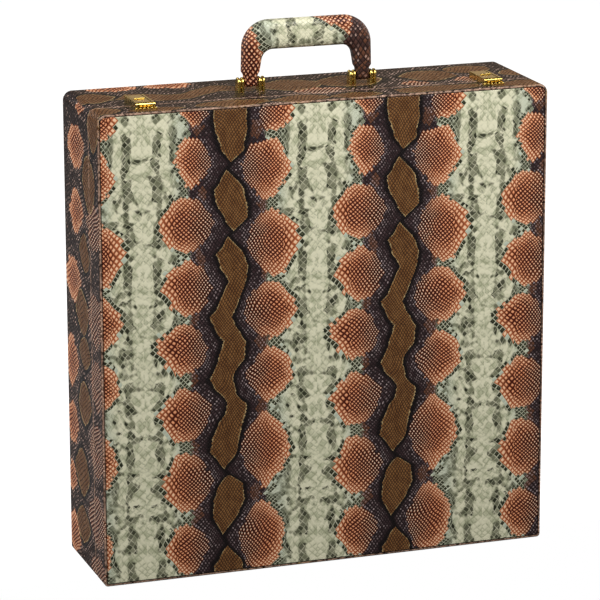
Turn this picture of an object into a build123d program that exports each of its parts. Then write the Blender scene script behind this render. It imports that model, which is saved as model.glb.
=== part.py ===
from build123d import *
import os

# Lengths are in millimetres. X runs across the case, Y from the lid to the back, Z up.
# The origin is the middle of the case's bottom.

# Case shell
CASE_WIDTH = 450.0
CASE_HEIGHT = 460.0
LID_DEPTH = 31.0
BASE_DEPTH = 91.0
WALL = 10.0
BOARD = 5.0
TOP_CORNER_R = 9.0
BOTTOM_CORNER_R = 3.5
EDGE_R = 1.6
SEAM_EDGE_R = 0.8
SEAM_GAP = 0.3
RIM = 2.0
GROOVE = 0.9
BOARD_EDGE_R = 0.5
HINGE_RELIEF = 4.8

# Lining and dividers
LINING = 1.0
LINING_SETBACK = 1.0
BED = 18.0
PAD = 10.0
SLAT = 3.0
SLAT_SETBACK = 5.85
SLAT_EDGE_R = 0.8
LAP_CLEARANCE = 0.1
ROWS = 4
COLUMNS = 8

# Butt hinges
HINGE_SPREAD = 260.0
HINGE_LENGTH = 60.0
HINGE_AXIS_Z = 2.0
BARREL_R = 1.6
HINGE_PIN_R = 0.7
LEAF = 0.9
KNUCKLES = 5
KNUCKLE_GAP = 0.2
LEAF_NOTCH_GAP = 0.3
RUNNING_FIT = 0.05
MORTISE_GAP = 0.1
SCREW_R = 0.8
SCREW_HEAD_R = 1.5
SCREW_HEAD = 0.5
SCREW_LENGTH = 8.0
SCREW_SLOT = 0.4
SCREW_SLOT_DEPTH = 0.3
SCREWS_PER_LEAF = 3
SCREW_PITCH = 22.0
SCREW_DROP = 2.9
FASTENER_FIT = 0.03

# Latches
LATCH_SPREAD = 348.0
LATCH_WIDTH = 18.6
LATCH_FLOOR = 1.0
LATCH_BACK = 22.2
LATCH_FRONT = 20.0
RAIL = 2.4
RAIL_HEIGHT = 6.0
RAIL_EDGE_R = 0.5
SPLIT_GAP = 0.3
FLANGE_EXTRA = 1.8
FLANGE_DEPTH = 3.4
FLANGE_CORNER_R = 0.9
BEAD_R = 1.15
BEAD_INSET = 0.2
BEADS = 6
RIVET_R = 0.9
RIVET_HEAD_R = 1.3
RIVET_HEAD = 0.5
RIVET_LENGTH = 7.0
RIVET_OFFSET = 3.6
RIVET_SEAM_OFFSET = 14.0
LID_RIVET_SEAM_OFFSET = 7.0

# Hasps
HASP_PIN_SETBACK = 15.0
HASP_PIN_R = 0.9
HASP_PIN_RISE = 3.8
HASP_ROLL_R = 2.4
HASP_PLATE = 1.4
HASP_PLATE_RISE = 4.1
HASP_REACH = 2.7
HASP_SIDE_GAP = 0.5
HASP_TIP_GAP = 0.3
HASP_TIP_R = 0.35

# Thumb slides and their springs
SLIDE_SIDE_GAP = 0.5
SLIDE_FLOAT = 0.05
SLIDE_TOP = 5.6
SLIDE_SKIN = 1.2
SLIDE_NOSE = 1.6
LEDGE_WIDTH = 10.0
LEDGE_DEPTH = 1.9
LEDGE_RISE = 0.9
LEDGE_R = 0.4
TONGUE = 0.9
TONGUE_HEIGHT = 0.8
TONGUE_RISE = 2.2
TONGUE_GAP = 0.2
SPRING_POST = 1.0
SPRING_POST_WIDTH = 3.0
SPRING_POST_SETBACK = 4.5
SPRING_WIRE_R = 0.2
SPRING_COIL_R = 1.0
SPRING_PITCH = 1.5
SPRING_RISE = 2.5
SPRING_SEAT_GAP = 0.25

# Carrying handle
HANDLE_WIDTH = 130.4
HANDLE_SPLAY = 2.0
HANDLE_HEIGHT = 67.9
GRIP = 28.2
GRIP_THICKNESS = 18.0
LEG = 17.6
LEG_FOOT = 13.4
LEG_FLARE = 1.2
LEG_THICKNESS = 13.0
HANDLE_OUTER_R = 27.0
HANDLE_INNER_R = 11.0
HANDLE_EDGE_R = 5.0
HANDLE_AXIS_RISE = 9.2
LEG_FOOT_R = 5.0
LEG_STRAIGHT = 6.0
LEG_NECK = 10.5
LEG_SHOULDER = 36.0
HANDLE_PIN_R = 1.5
EAR = 6.4
EAR_GAP = 0.5
EAR_R = 4.8
EAR_GROOVE = 1.7
EAR_GROOVE_DEPTH = 2.4
EAR_EDGE_R = 0.9
EAR_FOOT = 4.6
EAR_FOOT_R = 5.4
EAR_NOTCH = 0.5
EAR_STUD_R = 2.0
EAR_STUD = 7.0

# Planes that the pieces share
FRONT = -(LID_DEPTH + BASE_DEPTH) / 2
SEAM = FRONT + LID_DEPTH
BACK = SEAM + BASE_DEPTH
LID_SEAM = SEAM - SEAM_GAP / 2
BASE_SEAM = SEAM + SEAM_GAP / 2
HALF_WIDTH = CASE_WIDTH / 2
TOP = CASE_HEIGHT
HANDLE_Y = (FRONT + BACK) / 2
HANDLE_AXIS_Z = TOP + HANDLE_AXIS_RISE
BIG = 2000.0


def block(low, high):
    """A box between two opposite corners."""
    size = [b - a for a, b in zip(low, high)]
    return Pos(*low) * Box(*size, align=(Align.MIN, Align.MIN, Align.MIN))


def rod_x(radius, x_low, x_high, y, z):
    """A round bar along X."""
    bar = Cylinder(radius, x_high - x_low, align=(Align.CENTER, Align.CENTER, Align.MIN))
    return Pos(x_low, y, z) * Rot(0, 90, 0) * bar


def rod_y(radius, y_low, y_high, x, z):
    """A round bar along Y."""
    bar = Cylinder(radius, y_high - y_low, align=(Align.CENTER, Align.CENTER, Align.MIN))
    return Pos(x, y_low, z) * Rot(-90, 0, 0) * bar


def rod_z(radius, z_low, z_high, x, y):
    """A round bar along Z."""
    bar = Cylinder(radius, z_high - z_low, align=(Align.CENTER, Align.CENTER, Align.MIN))
    return Pos(x, y, z_low) * bar


def plate_x(points, x_low, x_high):
    """A closed outline of (y, z) points, made as thick as from x_low to x_high."""
    face = make_face(Polyline(*points, close=True))
    return extrude(Plane(origin=(x_low, 0, 0), x_dir=(0, 1, 0), z_dir=(1, 0, 0)) * face, x_high - x_low)


def case_block(inset, y_front, y_back):
    """The case's outline, drawn in by inset, as a solid between two depths."""
    face = Rectangle(CASE_WIDTH - 2 * inset, CASE_HEIGHT - 2 * inset)
    if TOP_CORNER_R > inset:
        face = fillet(face.vertices().group_by(Axis.Y)[-1], TOP_CORNER_R - inset)
    if BOTTOM_CORNER_R > inset:
        face = fillet(face.vertices().group_by(Axis.Y)[0], BOTTOM_CORNER_R - inset)
    plane = Plane(origin=(0, y_back, CASE_HEIGHT / 2), x_dir=(1, 0, 0), z_dir=(0, -1, 0))
    return extrude(plane * face, y_back - y_front)


def front_edges(solid):
    """The edges round the face nearest the lid's front."""
    return solid.faces().sort_by(Axis.Y)[0].edges()


def back_edges(solid):
    """The edges round the face nearest the back."""
    return solid.faces().sort_by(Axis.Y)[-1].edges()


def hinge_relief():
    """The vee along the bottom of the seam that the hinge barrels lie in."""
    points = [(SEAM - HINGE_RELIEF, 0), (SEAM + HINGE_RELIEF, 0), (SEAM, HINGE_RELIEF)]
    deep = [(SEAM - HINGE_RELIEF - WALL, -WALL), (SEAM, HINGE_RELIEF), (SEAM + HINGE_RELIEF + WALL, -WALL)]
    return plate_x(points, -BIG, BIG) + plate_x(deep, -BIG, BIG)


def hinge_centres():
    return [("left", -HINGE_SPREAD / 2), ("right", HINGE_SPREAD / 2)]


def latch_centres():
    return [("left", -LATCH_SPREAD / 2), ("right", LATCH_SPREAD / 2)]


def hinge_screw_spots():
    """Screw places as (x, z) on the seam faces of the bottom walls."""
    middle = (SCREWS_PER_LEAF - 1) / 2
    return [
        (centre + (i - middle) * SCREW_PITCH, WALL - SCREW_DROP)
        for _, centre in hinge_centres()
        for i in range(SCREWS_PER_LEAF)
    ]


def base_rivet_spots():
    """Rivet places as (x, y) under the latch cases."""
    return [
        (centre + side * RIVET_OFFSET, SEAM + RIVET_SEAM_OFFSET)
        for _, centre in latch_centres()
        for side in (-1, 1)
    ]


def lid_rivet_spots():
    """Rivet places as (x, y) under the latch plates."""
    return [
        (centre + side * RIVET_OFFSET, SEAM - LID_RIVET_SEAM_OFFSET)
        for _, centre in latch_centres()
        for side in (-1, 1)
    ]


def handle_leg_centres():
    reach = (HANDLE_WIDTH - LEG) / 2
    return [("left", -reach), ("right", reach)]


def ear_centres():
    """Name and x of each handle ear."""
    reach = LEG_FOOT / 2 + EAR_GAP + EAR / 2
    return [
        (f"{leg}_{side}", x + sign * reach)
        for leg, x in handle_leg_centres()
        for side, sign in (("a", -1), ("b", 1))
    ]


def split_walls(ring):
    """Cut the frame into its four walls. The top and bottom ones run the full width."""
    low, high = WALL, CASE_HEIGHT - WALL
    return {
        "top": ring & block((-BIG, -BIG, high), (BIG, BIG, BIG)),
        "bottom": ring & block((-BIG, -BIG, -BIG), (BIG, BIG, low)),
        "left": ring & block((-BIG, -BIG, low), (0, BIG, high)),
        "right": ring & block((0, -BIG, low), (BIG, BIG, high)),
    }


def fastener_holes():
    """Holes in the walls for screws, rivets and ear studs, on both sides of the seam."""
    holes = []
    for x, z in hinge_screw_spots():
        reach = SEAM_GAP / 2 + LEAF + SCREW_LENGTH
        holes.append(rod_y(SCREW_R + FASTENER_FIT, SEAM - reach, SEAM + reach, x, z))
    for x, y in base_rivet_spots() + lid_rivet_spots():
        holes.append(rod_z(RIVET_R + FASTENER_FIT, TOP - RIVET_LENGTH, TOP, x, y))
    for _, x in ear_centres():
        holes.append(rod_z(EAR_STUD_R + FASTENER_FIT, TOP - EAR_STUD, TOP, x, HANDLE_Y))
    return holes


def leaf_mortises():
    """Pockets in both seam faces for the hinge leaves."""
    half = HINGE_LENGTH / 2 + MORTISE_GAP
    reach = SEAM_GAP / 2 + LEAF
    return [
        block((x - half, SEAM - reach, HINGE_AXIS_Z), (x + half, SEAM + reach, WALL))
        for _, x in hinge_centres()
    ]


def base_walls():
    """The four walls behind the seam, with the rebate for the back board."""
    outer = case_block(0, BASE_SEAM, BACK)
    outer = fillet(back_edges(outer), EDGE_R)
    outer = fillet(front_edges(outer), SEAM_EDGE_R)
    ring = outer - case_block(WALL, BASE_SEAM, BACK) - case_block(RIM, BACK - BOARD, BACK)
    ring = ring - hinge_relief() - leaf_mortises() - fastener_holes()
    return split_walls(ring)


def lid_walls():
    """The four walls in front of the seam, with the rebate for the front board."""
    outer = case_block(0, FRONT, LID_SEAM)
    outer = fillet(front_edges(outer), EDGE_R)
    outer = fillet(back_edges(outer), SEAM_EDGE_R)
    ring = outer - case_block(WALL, FRONT, LID_SEAM) - case_block(RIM, FRONT, FRONT + BOARD)
    ring = ring - hinge_relief() - leaf_mortises() - fastener_holes()
    return split_walls(ring)


def base_back_board():
    board = case_block(RIM + GROOVE, BACK - BOARD, BACK)
    return fillet(back_edges(board), BOARD_EDGE_R)


def lid_front_board():
    board = case_block(RIM + GROOVE, FRONT, FRONT + BOARD)
    return fillet(front_edges(board), BOARD_EDGE_R)


def base_lining():
    """The fabric round the inside of the base walls."""
    y_front, y_back = BASE_SEAM + LINING_SETBACK, BACK - BOARD
    return case_block(WALL, y_front, y_back) - case_block(WALL + LINING, y_front, y_back)


def lid_lining():
    """The fabric round the inside of the lid walls."""
    y_front, y_back = FRONT + BOARD, LID_SEAM - LINING_SETBACK
    return case_block(WALL, y_front, y_back) - case_block(WALL + LINING, y_front, y_back)


def base_bed():
    """The flocked bed that the chess pieces lie on."""
    return case_block(WALL + LINING, BACK - BOARD - BED, BACK - BOARD)


def lid_pad():
    """The soft pad behind the front board."""
    return case_block(WALL + LINING, FRONT + BOARD, FRONT + BOARD + PAD)


# Dividers
SLAT_FRONT = BASE_SEAM + SLAT_SETBACK
SLAT_BACK = BACK - BOARD - BED
LAP = (SLAT_FRONT + SLAT_BACK) / 2
CAVITY_X = HALF_WIDTH - WALL - LINING
CAVITY_LOW = WALL + LINING
CAVITY_HIGH = CASE_HEIGHT - WALL - LINING
CELL_WIDTH = (2 * CAVITY_X - (COLUMNS - 1) * SLAT) / COLUMNS
CELL_HEIGHT = (CAVITY_HIGH - CAVITY_LOW - (ROWS - 1) * SLAT) / ROWS


def row_z(k):
    """The height of row slat k, counted from 1 at the bottom."""
    return CAVITY_LOW + k * (CELL_HEIGHT + SLAT) - SLAT / 2


def column_x(k):
    """The place of column slat k, counted from 1 at the left."""
    return -CAVITY_X + k * (CELL_WIDTH + SLAT) - SLAT / 2


def row_slat(k):
    """A slat across the case, notched from its front edge at each long column slat."""
    z = row_z(k)
    slat = block((-CAVITY_X, SLAT_FRONT, z - SLAT / 2), (CAVITY_X, SLAT_BACK, z + SLAT / 2))
    slat = fillet(front_edges(slat).filter_by(Axis.X), SLAT_EDGE_R)
    half = SLAT / 2 + LAP_CLEARANCE
    for column in range(2, COLUMNS, 2):
        x = column_x(column)
        slat -= block((x - half, SLAT_FRONT - SLAT, z - SLAT), (x + half, LAP, z + SLAT))
    return slat


def column_slat(k):
    """A long slat up the case, notched from its back edge at each row slat."""
    x = column_x(k)
    slat = block((x - SLAT / 2, SLAT_FRONT, CAVITY_LOW), (x + SLAT / 2, SLAT_BACK, CAVITY_HIGH))
    slat = fillet(front_edges(slat).filter_by(Axis.Z), SLAT_EDGE_R)
    half = SLAT / 2 + LAP_CLEARANCE
    for row in range(1, ROWS):
        z = row_z(row)
        slat -= block((x - SLAT, LAP, z - half), (x + SLAT, SLAT_BACK + SLAT, z + half))
    return slat


def officer_slat(k, at_top):
    """A short slat up the top or bottom row, between the lining and the next row slat."""
    x = column_x(k)
    if at_top:
        low, high = row_z(ROWS - 1) + SLAT / 2, CAVITY_HIGH
    else:
        low, high = CAVITY_LOW, row_z(1) - SLAT / 2
    slat = block((x - SLAT / 2, SLAT_FRONT, low), (x + SLAT / 2, SLAT_BACK, high))
    return fillet(front_edges(slat).filter_by(Axis.Z), SLAT_EDGE_R)


# Hinges
def knuckle_span(index):
    """Where knuckle number index starts and ends along a hinge, from its middle."""
    step = HINGE_LENGTH / KNUCKLES
    start = -HINGE_LENGTH / 2 + index * step
    return start + KNUCKLE_GAP / 2, start + step - KNUCKLE_GAP / 2


def hinge_leaf(centre, side):
    """One hinge leaf. Side is 1 for the base's and -1 for the lid's, which has the odd knuckles."""
    face = SEAM + side * SEAM_GAP / 2
    y_low, y_high = sorted((face, face + side * LEAF))
    half = HINGE_LENGTH / 2
    leaf = block((centre - half, y_low, HINGE_AXIS_Z), (centre + half, y_high, WALL))
    keep_out = BARREL_R + LEAF_NOTCH_GAP
    mine = [i for i in range(KNUCKLES) if (i % 2 == 0) == (side > 0)]
    for index in range(KNUCKLES):
        low, high = knuckle_span(index)
        if index in mine:
            leaf += rod_x(BARREL_R, centre + low, centre + high, SEAM, HINGE_AXIS_Z)
        else:
            low, high = low - KNUCKLE_GAP, high + KNUCKLE_GAP
            notch_low = (centre + low, y_low - LEAF, HINGE_AXIS_Z - LEAF)
            leaf -= block(notch_low, (centre + high, y_high + LEAF, HINGE_AXIS_Z + keep_out))
    leaf -= rod_x(HINGE_PIN_R + RUNNING_FIT, centre - BIG, centre + BIG, SEAM, HINGE_AXIS_Z)
    for x, z in hinge_screw_spots():
        leaf -= rod_y(SCREW_R + FASTENER_FIT, y_low - LEAF, y_high + LEAF, x, z)
        sink_low, sink_high = sorted((face, face + side * SCREW_HEAD))
        leaf -= rod_y(SCREW_HEAD_R + FASTENER_FIT, sink_low, sink_high, x, z)
    return leaf


def hinge_pin(centre):
    half = HINGE_LENGTH / 2
    return rod_x(HINGE_PIN_R, centre - half, centre + half, SEAM, HINGE_AXIS_Z)


def hinge_screws(side):
    """The screws that hold one side's leaves. Their heads are flush with the leaves."""
    face = SEAM + side * SEAM_GAP / 2
    screws = []
    for x, z in hinge_screw_spots():
        head_low, head_high = sorted((face, face + side * SCREW_HEAD))
        shank_low, shank_high = sorted((face, face + side * (LEAF + SCREW_LENGTH - SCREW_HEAD)))
        head = rod_y(SCREW_HEAD_R, head_low, head_high, x, z)
        slot_low, slot_high = sorted((face, face + side * SCREW_SLOT_DEPTH))
        head -= block(
            (x - SCREW_HEAD_R, slot_low, z - SCREW_SLOT / 2),
            (x + SCREW_HEAD_R, slot_high, z + SCREW_SLOT / 2),
        )
        screws.append(head + rod_y(SCREW_R, shank_low, shank_high, x, z))
    return Compound(children=screws)


# Latches
LATCH_BACK_Y = SEAM + LATCH_BACK
LATCH_FRONT_Y = SEAM - LATCH_FRONT
RAIL_INNER = LATCH_WIDTH / 2 - RAIL
HASP_PIN_Y = SEAM - HASP_PIN_SETBACK
HASP_PIN_Z = TOP + HASP_PIN_RISE
HASP_TIP_Y = SEAM + HASP_REACH
SLIDE_HALF = RAIL_INNER - SLIDE_SIDE_GAP
SLIDE_FRONT_Y = HASP_TIP_Y + HASP_TIP_GAP
SPRING_POST_Y = LATCH_BACK_Y - SPRING_POST_SETBACK


def rail_spans(centre):
    """Where the two upright sides of a latch stand along X."""
    outer, inner = LATCH_WIDTH / 2, RAIL_INNER
    return [(centre - outer, centre - inner), (centre + inner, centre + outer)]


def rail(span, y_low, y_high):
    """One of the upright sides that a slide or a hasp lies between, with its top edges rounded."""
    bar = block((span[0], y_low, TOP), (span[1], y_high, TOP + RAIL_HEIGHT))
    return fillet(bar.faces().sort_by(Axis.Z)[-1].edges().filter_by(Axis.Y), RAIL_EDGE_R)


def latch_case(centre):
    """The latch's base part: a floor, two grooved rails and the post that the spring pushes on."""
    y_low, y_high = SEAM + SPLIT_GAP, LATCH_BACK_Y
    half = LATCH_WIDTH / 2
    case = block((centre - half, y_low, TOP), (centre + half, y_high, TOP + LATCH_FLOOR))
    for span in rail_spans(centre):
        case += rail(span, y_low, y_high)
    groove_half = SLIDE_HALF + TONGUE + TONGUE_GAP
    groove_low = TOP + TONGUE_RISE - TONGUE_GAP
    groove_high = TOP + TONGUE_RISE + TONGUE_HEIGHT + TONGUE_GAP
    case -= block((centre - groove_half, y_low, groove_low), (centre + groove_half, y_high, groove_high))
    case += block(
        (centre - SPRING_POST_WIDTH / 2, SPRING_POST_Y - SPRING_POST, TOP + LATCH_FLOOR),
        (centre + SPRING_POST_WIDTH / 2, SPRING_POST_Y, TOP + SPRING_RISE + SPRING_COIL_R),
    )
    for x, y in base_rivet_spots():
        case -= rod_z(RIVET_R + FASTENER_FIT, TOP, TOP + LATCH_FLOOR, x, y)
    return case


def thumb_slide(centre):
    """The slide: a hollow cap with a raised ledge at its nose and a tongue on each side."""
    bottom, top = TOP + LATCH_FLOOR + SLIDE_FLOAT, TOP + SLIDE_TOP
    slide = block((centre - SLIDE_HALF, SLIDE_FRONT_Y, bottom), (centre + SLIDE_HALF, LATCH_BACK_Y, top))
    ledge = block(
        (centre - LEDGE_WIDTH / 2, SLIDE_FRONT_Y, top - LEDGE_RISE),
        (centre + LEDGE_WIDTH / 2, SLIDE_FRONT_Y + LEDGE_DEPTH, top + LEDGE_RISE),
    )
    slide += fillet(ledge.faces().sort_by(Axis.Z)[-1].edges(), LEDGE_R)
    tongue_half = SLIDE_HALF + TONGUE
    tongue_low = TOP + TONGUE_RISE
    slide += block(
        (centre - tongue_half, SLIDE_FRONT_Y, tongue_low),
        (centre + tongue_half, LATCH_BACK_Y, tongue_low + TONGUE_HEIGHT),
    )
    hollow_half = SLIDE_HALF - SLIDE_SKIN
    slide -= block(
        (centre - hollow_half, SLIDE_FRONT_Y + SLIDE_NOSE, bottom - SLIDE_SKIN),
        (centre + hollow_half, LATCH_BACK_Y - SLIDE_SKIN, top - SLIDE_SKIN),
    )
    return slide


def slide_spring(centre):
    """The coil spring between the slide's nose and the post, along Y."""
    y_low = SLIDE_FRONT_Y + SLIDE_NOSE + SPRING_SEAT_GAP + SPRING_WIRE_R
    y_high = SPRING_POST_Y - SPRING_POST - SPRING_SEAT_GAP - SPRING_WIRE_R
    path = Helix(SPRING_PITCH, y_high - y_low, SPRING_COIL_R)
    ring = Plane(origin=path @ 0, z_dir=path % 0) * Circle(SPRING_WIRE_R)
    coil = sweep(ring, path)
    return Pos(centre, y_low, TOP + SPRING_RISE) * Rot(-90, 0, 0) * coil


def latch_plate(centre):
    """The latch's lid part: a floor with a beaded flange, and two cheeks that carry the hasp's pin."""
    y_low, y_high = LATCH_FRONT_Y, SEAM - SPLIT_GAP
    half = LATCH_WIDTH / 2
    plate = block((centre - half, y_low, TOP), (centre + half, y_high, TOP + LATCH_FLOOR))
    flange_half = half + FLANGE_EXTRA
    flange_top = (centre + flange_half, y_low + FLANGE_DEPTH, TOP + LATCH_FLOOR)
    flange = block((centre - flange_half, y_low, TOP), flange_top)
    plate += fillet(flange.edges().filter_by(Axis.Z), FLANGE_CORNER_R)
    nose = RAIL_HEIGHT - HASP_PIN_RISE
    for span in rail_spans(centre):
        plate += rail(span, HASP_PIN_Y, y_high) + rod_x(nose, *span, HASP_PIN_Y, HASP_PIN_Z)
        plate += block((span[0], HASP_PIN_Y - nose, TOP), (span[1], HASP_PIN_Y, HASP_PIN_Z))
    pitch = 2 * flange_half / BEADS
    for index in range(BEADS):
        x = centre + (index - (BEADS - 1) / 2) * pitch
        bead = Pos(x, y_low + BEAD_INSET + BEAD_R, TOP + LATCH_FLOOR) * Sphere(BEAD_R)
        keep = block((x - pitch, y_low, TOP + LATCH_FLOOR / 2), (x + pitch, y_high, TOP + RAIL_HEIGHT))
        plate += bead & keep
    plate -= rod_x(HASP_PIN_R + FASTENER_FIT, centre - half, centre + half, HASP_PIN_Y, HASP_PIN_Z)
    for x, y in lid_rivet_spots():
        plate -= rod_z(RIVET_R + FASTENER_FIT, TOP, TOP + LATCH_FLOOR, x, y)
    return plate


def hasp_pin(centre):
    half = LATCH_WIDTH / 2
    return rod_x(HASP_PIN_R, centre - half, centre + half, HASP_PIN_Y, HASP_PIN_Z)


def hasp(centre):
    """The hasp: a roll round its pin and a plate that reaches over the seam to the slide's nose."""
    half = RAIL_INNER - HASP_SIDE_GAP
    low = TOP + HASP_PLATE_RISE
    plate = block((centre - half, HASP_PIN_Y, low), (centre + half, HASP_TIP_Y, low + HASP_PLATE))
    plate = fillet(back_edges(plate).filter_by(Axis.X), HASP_TIP_R)
    roll = rod_x(HASP_ROLL_R, centre - half, centre + half, HASP_PIN_Y, HASP_PIN_Z)
    bore = rod_x(HASP_PIN_R + RUNNING_FIT, centre - half, centre + half, HASP_PIN_Y, HASP_PIN_Z)
    return plate + roll - bore


def rivets(spots):
    """The rivets at a list of (x, y) places on the top walls."""
    made = []
    for x, y in spots:
        low = TOP + LATCH_FLOOR
        head = rod_z(RIVET_HEAD_R, low, low + RIVET_HEAD, x, y)
        made.append(head + rod_z(RIVET_R, TOP - RIVET_LENGTH, low, x, y))
    return Compound(children=made)


# Carrying handle
def arch(half, corner_r):
    """A face from the right-hand half of its outline, from the foot up, with round upper corners."""
    face = make_face(Polyline(*half, *[(-x, z) for x, z in reversed(half)], close=True))
    return fillet(face.vertices().group_by(Axis.Y)[-1], corner_r)


def handle_outline():
    """The handle seen from the front: an arch with a window, whose legs lean in and widen upwards."""
    outer, inner = HANDLE_WIDTH / 2, HANDLE_WIDTH / 2 - LEG
    leg_centre = outer - LEG / 2
    foot = HANDLE_AXIS_RISE - LEG_FOOT_R
    neck = HANDLE_AXIS_RISE + LEG_NECK
    crown = outer - HANDLE_SPLAY
    window = inner - HANDLE_SPLAY - LEG_FLARE
    foot_outer, foot_inner = leg_centre + LEG_FOOT / 2, leg_centre - LEG_FOOT / 2
    straight = HANDLE_AXIS_RISE + LEG_STRAIGHT
    outside = [(foot_outer, foot), (foot_outer, straight), (outer, neck), (crown, HANDLE_HEIGHT)]
    inside = [(foot_inner, foot), (foot_inner, straight), (inner, neck), (window, HANDLE_HEIGHT - GRIP)]
    face = arch(outside, HANDLE_OUTER_R) - arch(inside, HANDLE_INNER_R)
    origin = (0, HANDLE_Y + GRIP_THICKNESS / 2, TOP)
    return extrude(Plane(origin=origin, x_dir=(1, 0, 0), z_dir=(0, -1, 0)) * face, GRIP_THICKNESS)


def handle_side():
    """The handle seen from the side: round feet, slimmer legs and a full grip."""
    shoulder = HANDLE_AXIS_RISE + LEG_SHOULDER
    neck = HANDLE_AXIS_RISE + LEG_NECK
    grip, leg, foot = GRIP_THICKNESS / 2, LEG_THICKNESS / 2, LEG_FOOT_R
    half = [(foot, HANDLE_AXIS_RISE), (leg, neck), (grip, shoulder), (grip, HANDLE_HEIGHT)]
    points = [(HANDLE_Y + y, TOP + z) for y, z in half]
    points += [(HANDLE_Y - y, TOP + z) for y, z in reversed(half)]
    side = plate_x(points, -BIG, BIG)
    return side + rod_x(foot, -BIG, BIG, HANDLE_Y, HANDLE_AXIS_Z)


def carrying_handle():
    outline = handle_outline()
    outline = fillet(front_edges(outline) + back_edges(outline), HANDLE_EDGE_R)
    bore = rod_x(HANDLE_PIN_R + RUNNING_FIT, -BIG, BIG, HANDLE_Y, HANDLE_AXIS_Z)
    return (outline & handle_side()) - bore


def handle_ear(x):
    """A brass ear: two round-topped ribs on wider feet, a deep groove apart, on a stud in the wall."""

    def rounded(solid, low):
        """Round the edges of a rib or foot, but for those that it stands on."""
        rims = solid.edges().filter_by(Axis.X, reverse=True)
        return fillet([e for e in rims if e.center().Z > low + EAR_NOTCH], EAR_EDGE_R)

    def rib(x_low, x_high, radius, low):
        round_top = rod_x(radius, x_low, x_high, HANDLE_Y, HANDLE_AXIS_Z)
        shank = block((x_low, HANDLE_Y - radius, low), (x_high, HANDLE_Y + radius, HANDLE_AXIS_Z))
        return round_top + shank

    rib_width = (EAR - EAR_GROOVE) / 2
    foot_top = TOP + EAR_FOOT
    ear = rib(x - EAR / 2, x + EAR / 2, EAR_R - EAR_GROOVE_DEPTH, TOP)
    for low in (x - EAR / 2, x + EAR / 2 - rib_width):
        high = low + rib_width
        ear += rounded(rib(low, high, EAR_R, foot_top + EAR_NOTCH), foot_top + EAR_NOTCH)
        foot = block((low, HANDLE_Y - EAR_FOOT_R, TOP), (high, HANDLE_Y + EAR_FOOT_R, foot_top))
        ear += rounded(foot, TOP)
    ear += rod_z(EAR_STUD_R, TOP - EAR_STUD, TOP + EAR_NOTCH, x, HANDLE_Y)
    return ear - rod_x(HANDLE_PIN_R + FASTENER_FIT, x - EAR, x + EAR, HANDLE_Y, HANDLE_AXIS_Z)


def handle_pin(x):
    reach = LEG_FOOT / 2 + EAR_GAP + EAR
    return rod_x(HANDLE_PIN_R, x - reach, x + reach, HANDLE_Y, HANDLE_AXIS_Z)


def all_parts():
    """Every node's solid, by name."""
    parts = {}
    for name, wall in base_walls().items():
        parts[f"base_wall_{name}"] = wall
    parts["base_back_board"] = base_back_board()
    parts["base_lining"] = base_lining()
    parts["base_bed"] = base_bed()
    for k in range(1, ROWS):
        parts[f"row_slat_{k}"] = row_slat(k)
    for k in range(2, COLUMNS, 2):
        parts[f"column_slat_{k}"] = column_slat(k)
    for k in range(1, COLUMNS, 2):
        parts[f"officer_slat_top_{k}"] = officer_slat(k, True)
        parts[f"officer_slat_bottom_{k}"] = officer_slat(k, False)
    for name, wall in lid_walls().items():
        parts[f"lid_wall_{name}"] = wall
    parts["lid_front_board"] = lid_front_board()
    parts["lid_lining"] = lid_lining()
    parts["lid_pad"] = lid_pad()
    for name, x in hinge_centres():
        parts[f"hinge_leaf_base_{name}"] = hinge_leaf(x, 1)
        parts[f"hinge_leaf_lid_{name}"] = hinge_leaf(x, -1)
        parts[f"hinge_pin_{name}"] = hinge_pin(x)
    parts["hinge_screws_base"] = hinge_screws(1)
    parts["hinge_screws_lid"] = hinge_screws(-1)
    for name, x in latch_centres():
        parts[f"latch_case_{name}"] = latch_case(x)
        parts[f"thumb_slide_{name}"] = thumb_slide(x)
        parts[f"slide_spring_{name}"] = slide_spring(x)
        parts[f"latch_plate_{name}"] = latch_plate(x)
        parts[f"hasp_{name}"] = hasp(x)
        parts[f"hasp_pin_{name}"] = hasp_pin(x)
    parts["latch_rivets_base"] = rivets(base_rivet_spots())
    parts["latch_rivets_lid"] = rivets(lid_rivet_spots())
    parts["carrying_handle"] = carrying_handle()
    for name, x in ear_centres():
        parts[f"handle_ear_{name}"] = handle_ear(x)
    for name, x in handle_leg_centres():
        parts[f"handle_pin_{name}"] = handle_pin(x)
    return parts


os.makedirs("parts", exist_ok=True)
for node, solid in all_parts().items():
    export_step(solid, f"parts/{node}.step")
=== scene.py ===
"""A chess piece case in glossy python-print leatherette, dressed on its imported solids.

Lengths in the print are millimetres, as its maker would measure them, and meshes are in metres.
"""

import logging
import math
from collections.abc import Callable
from dataclasses import dataclass
from enum import Enum

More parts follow.
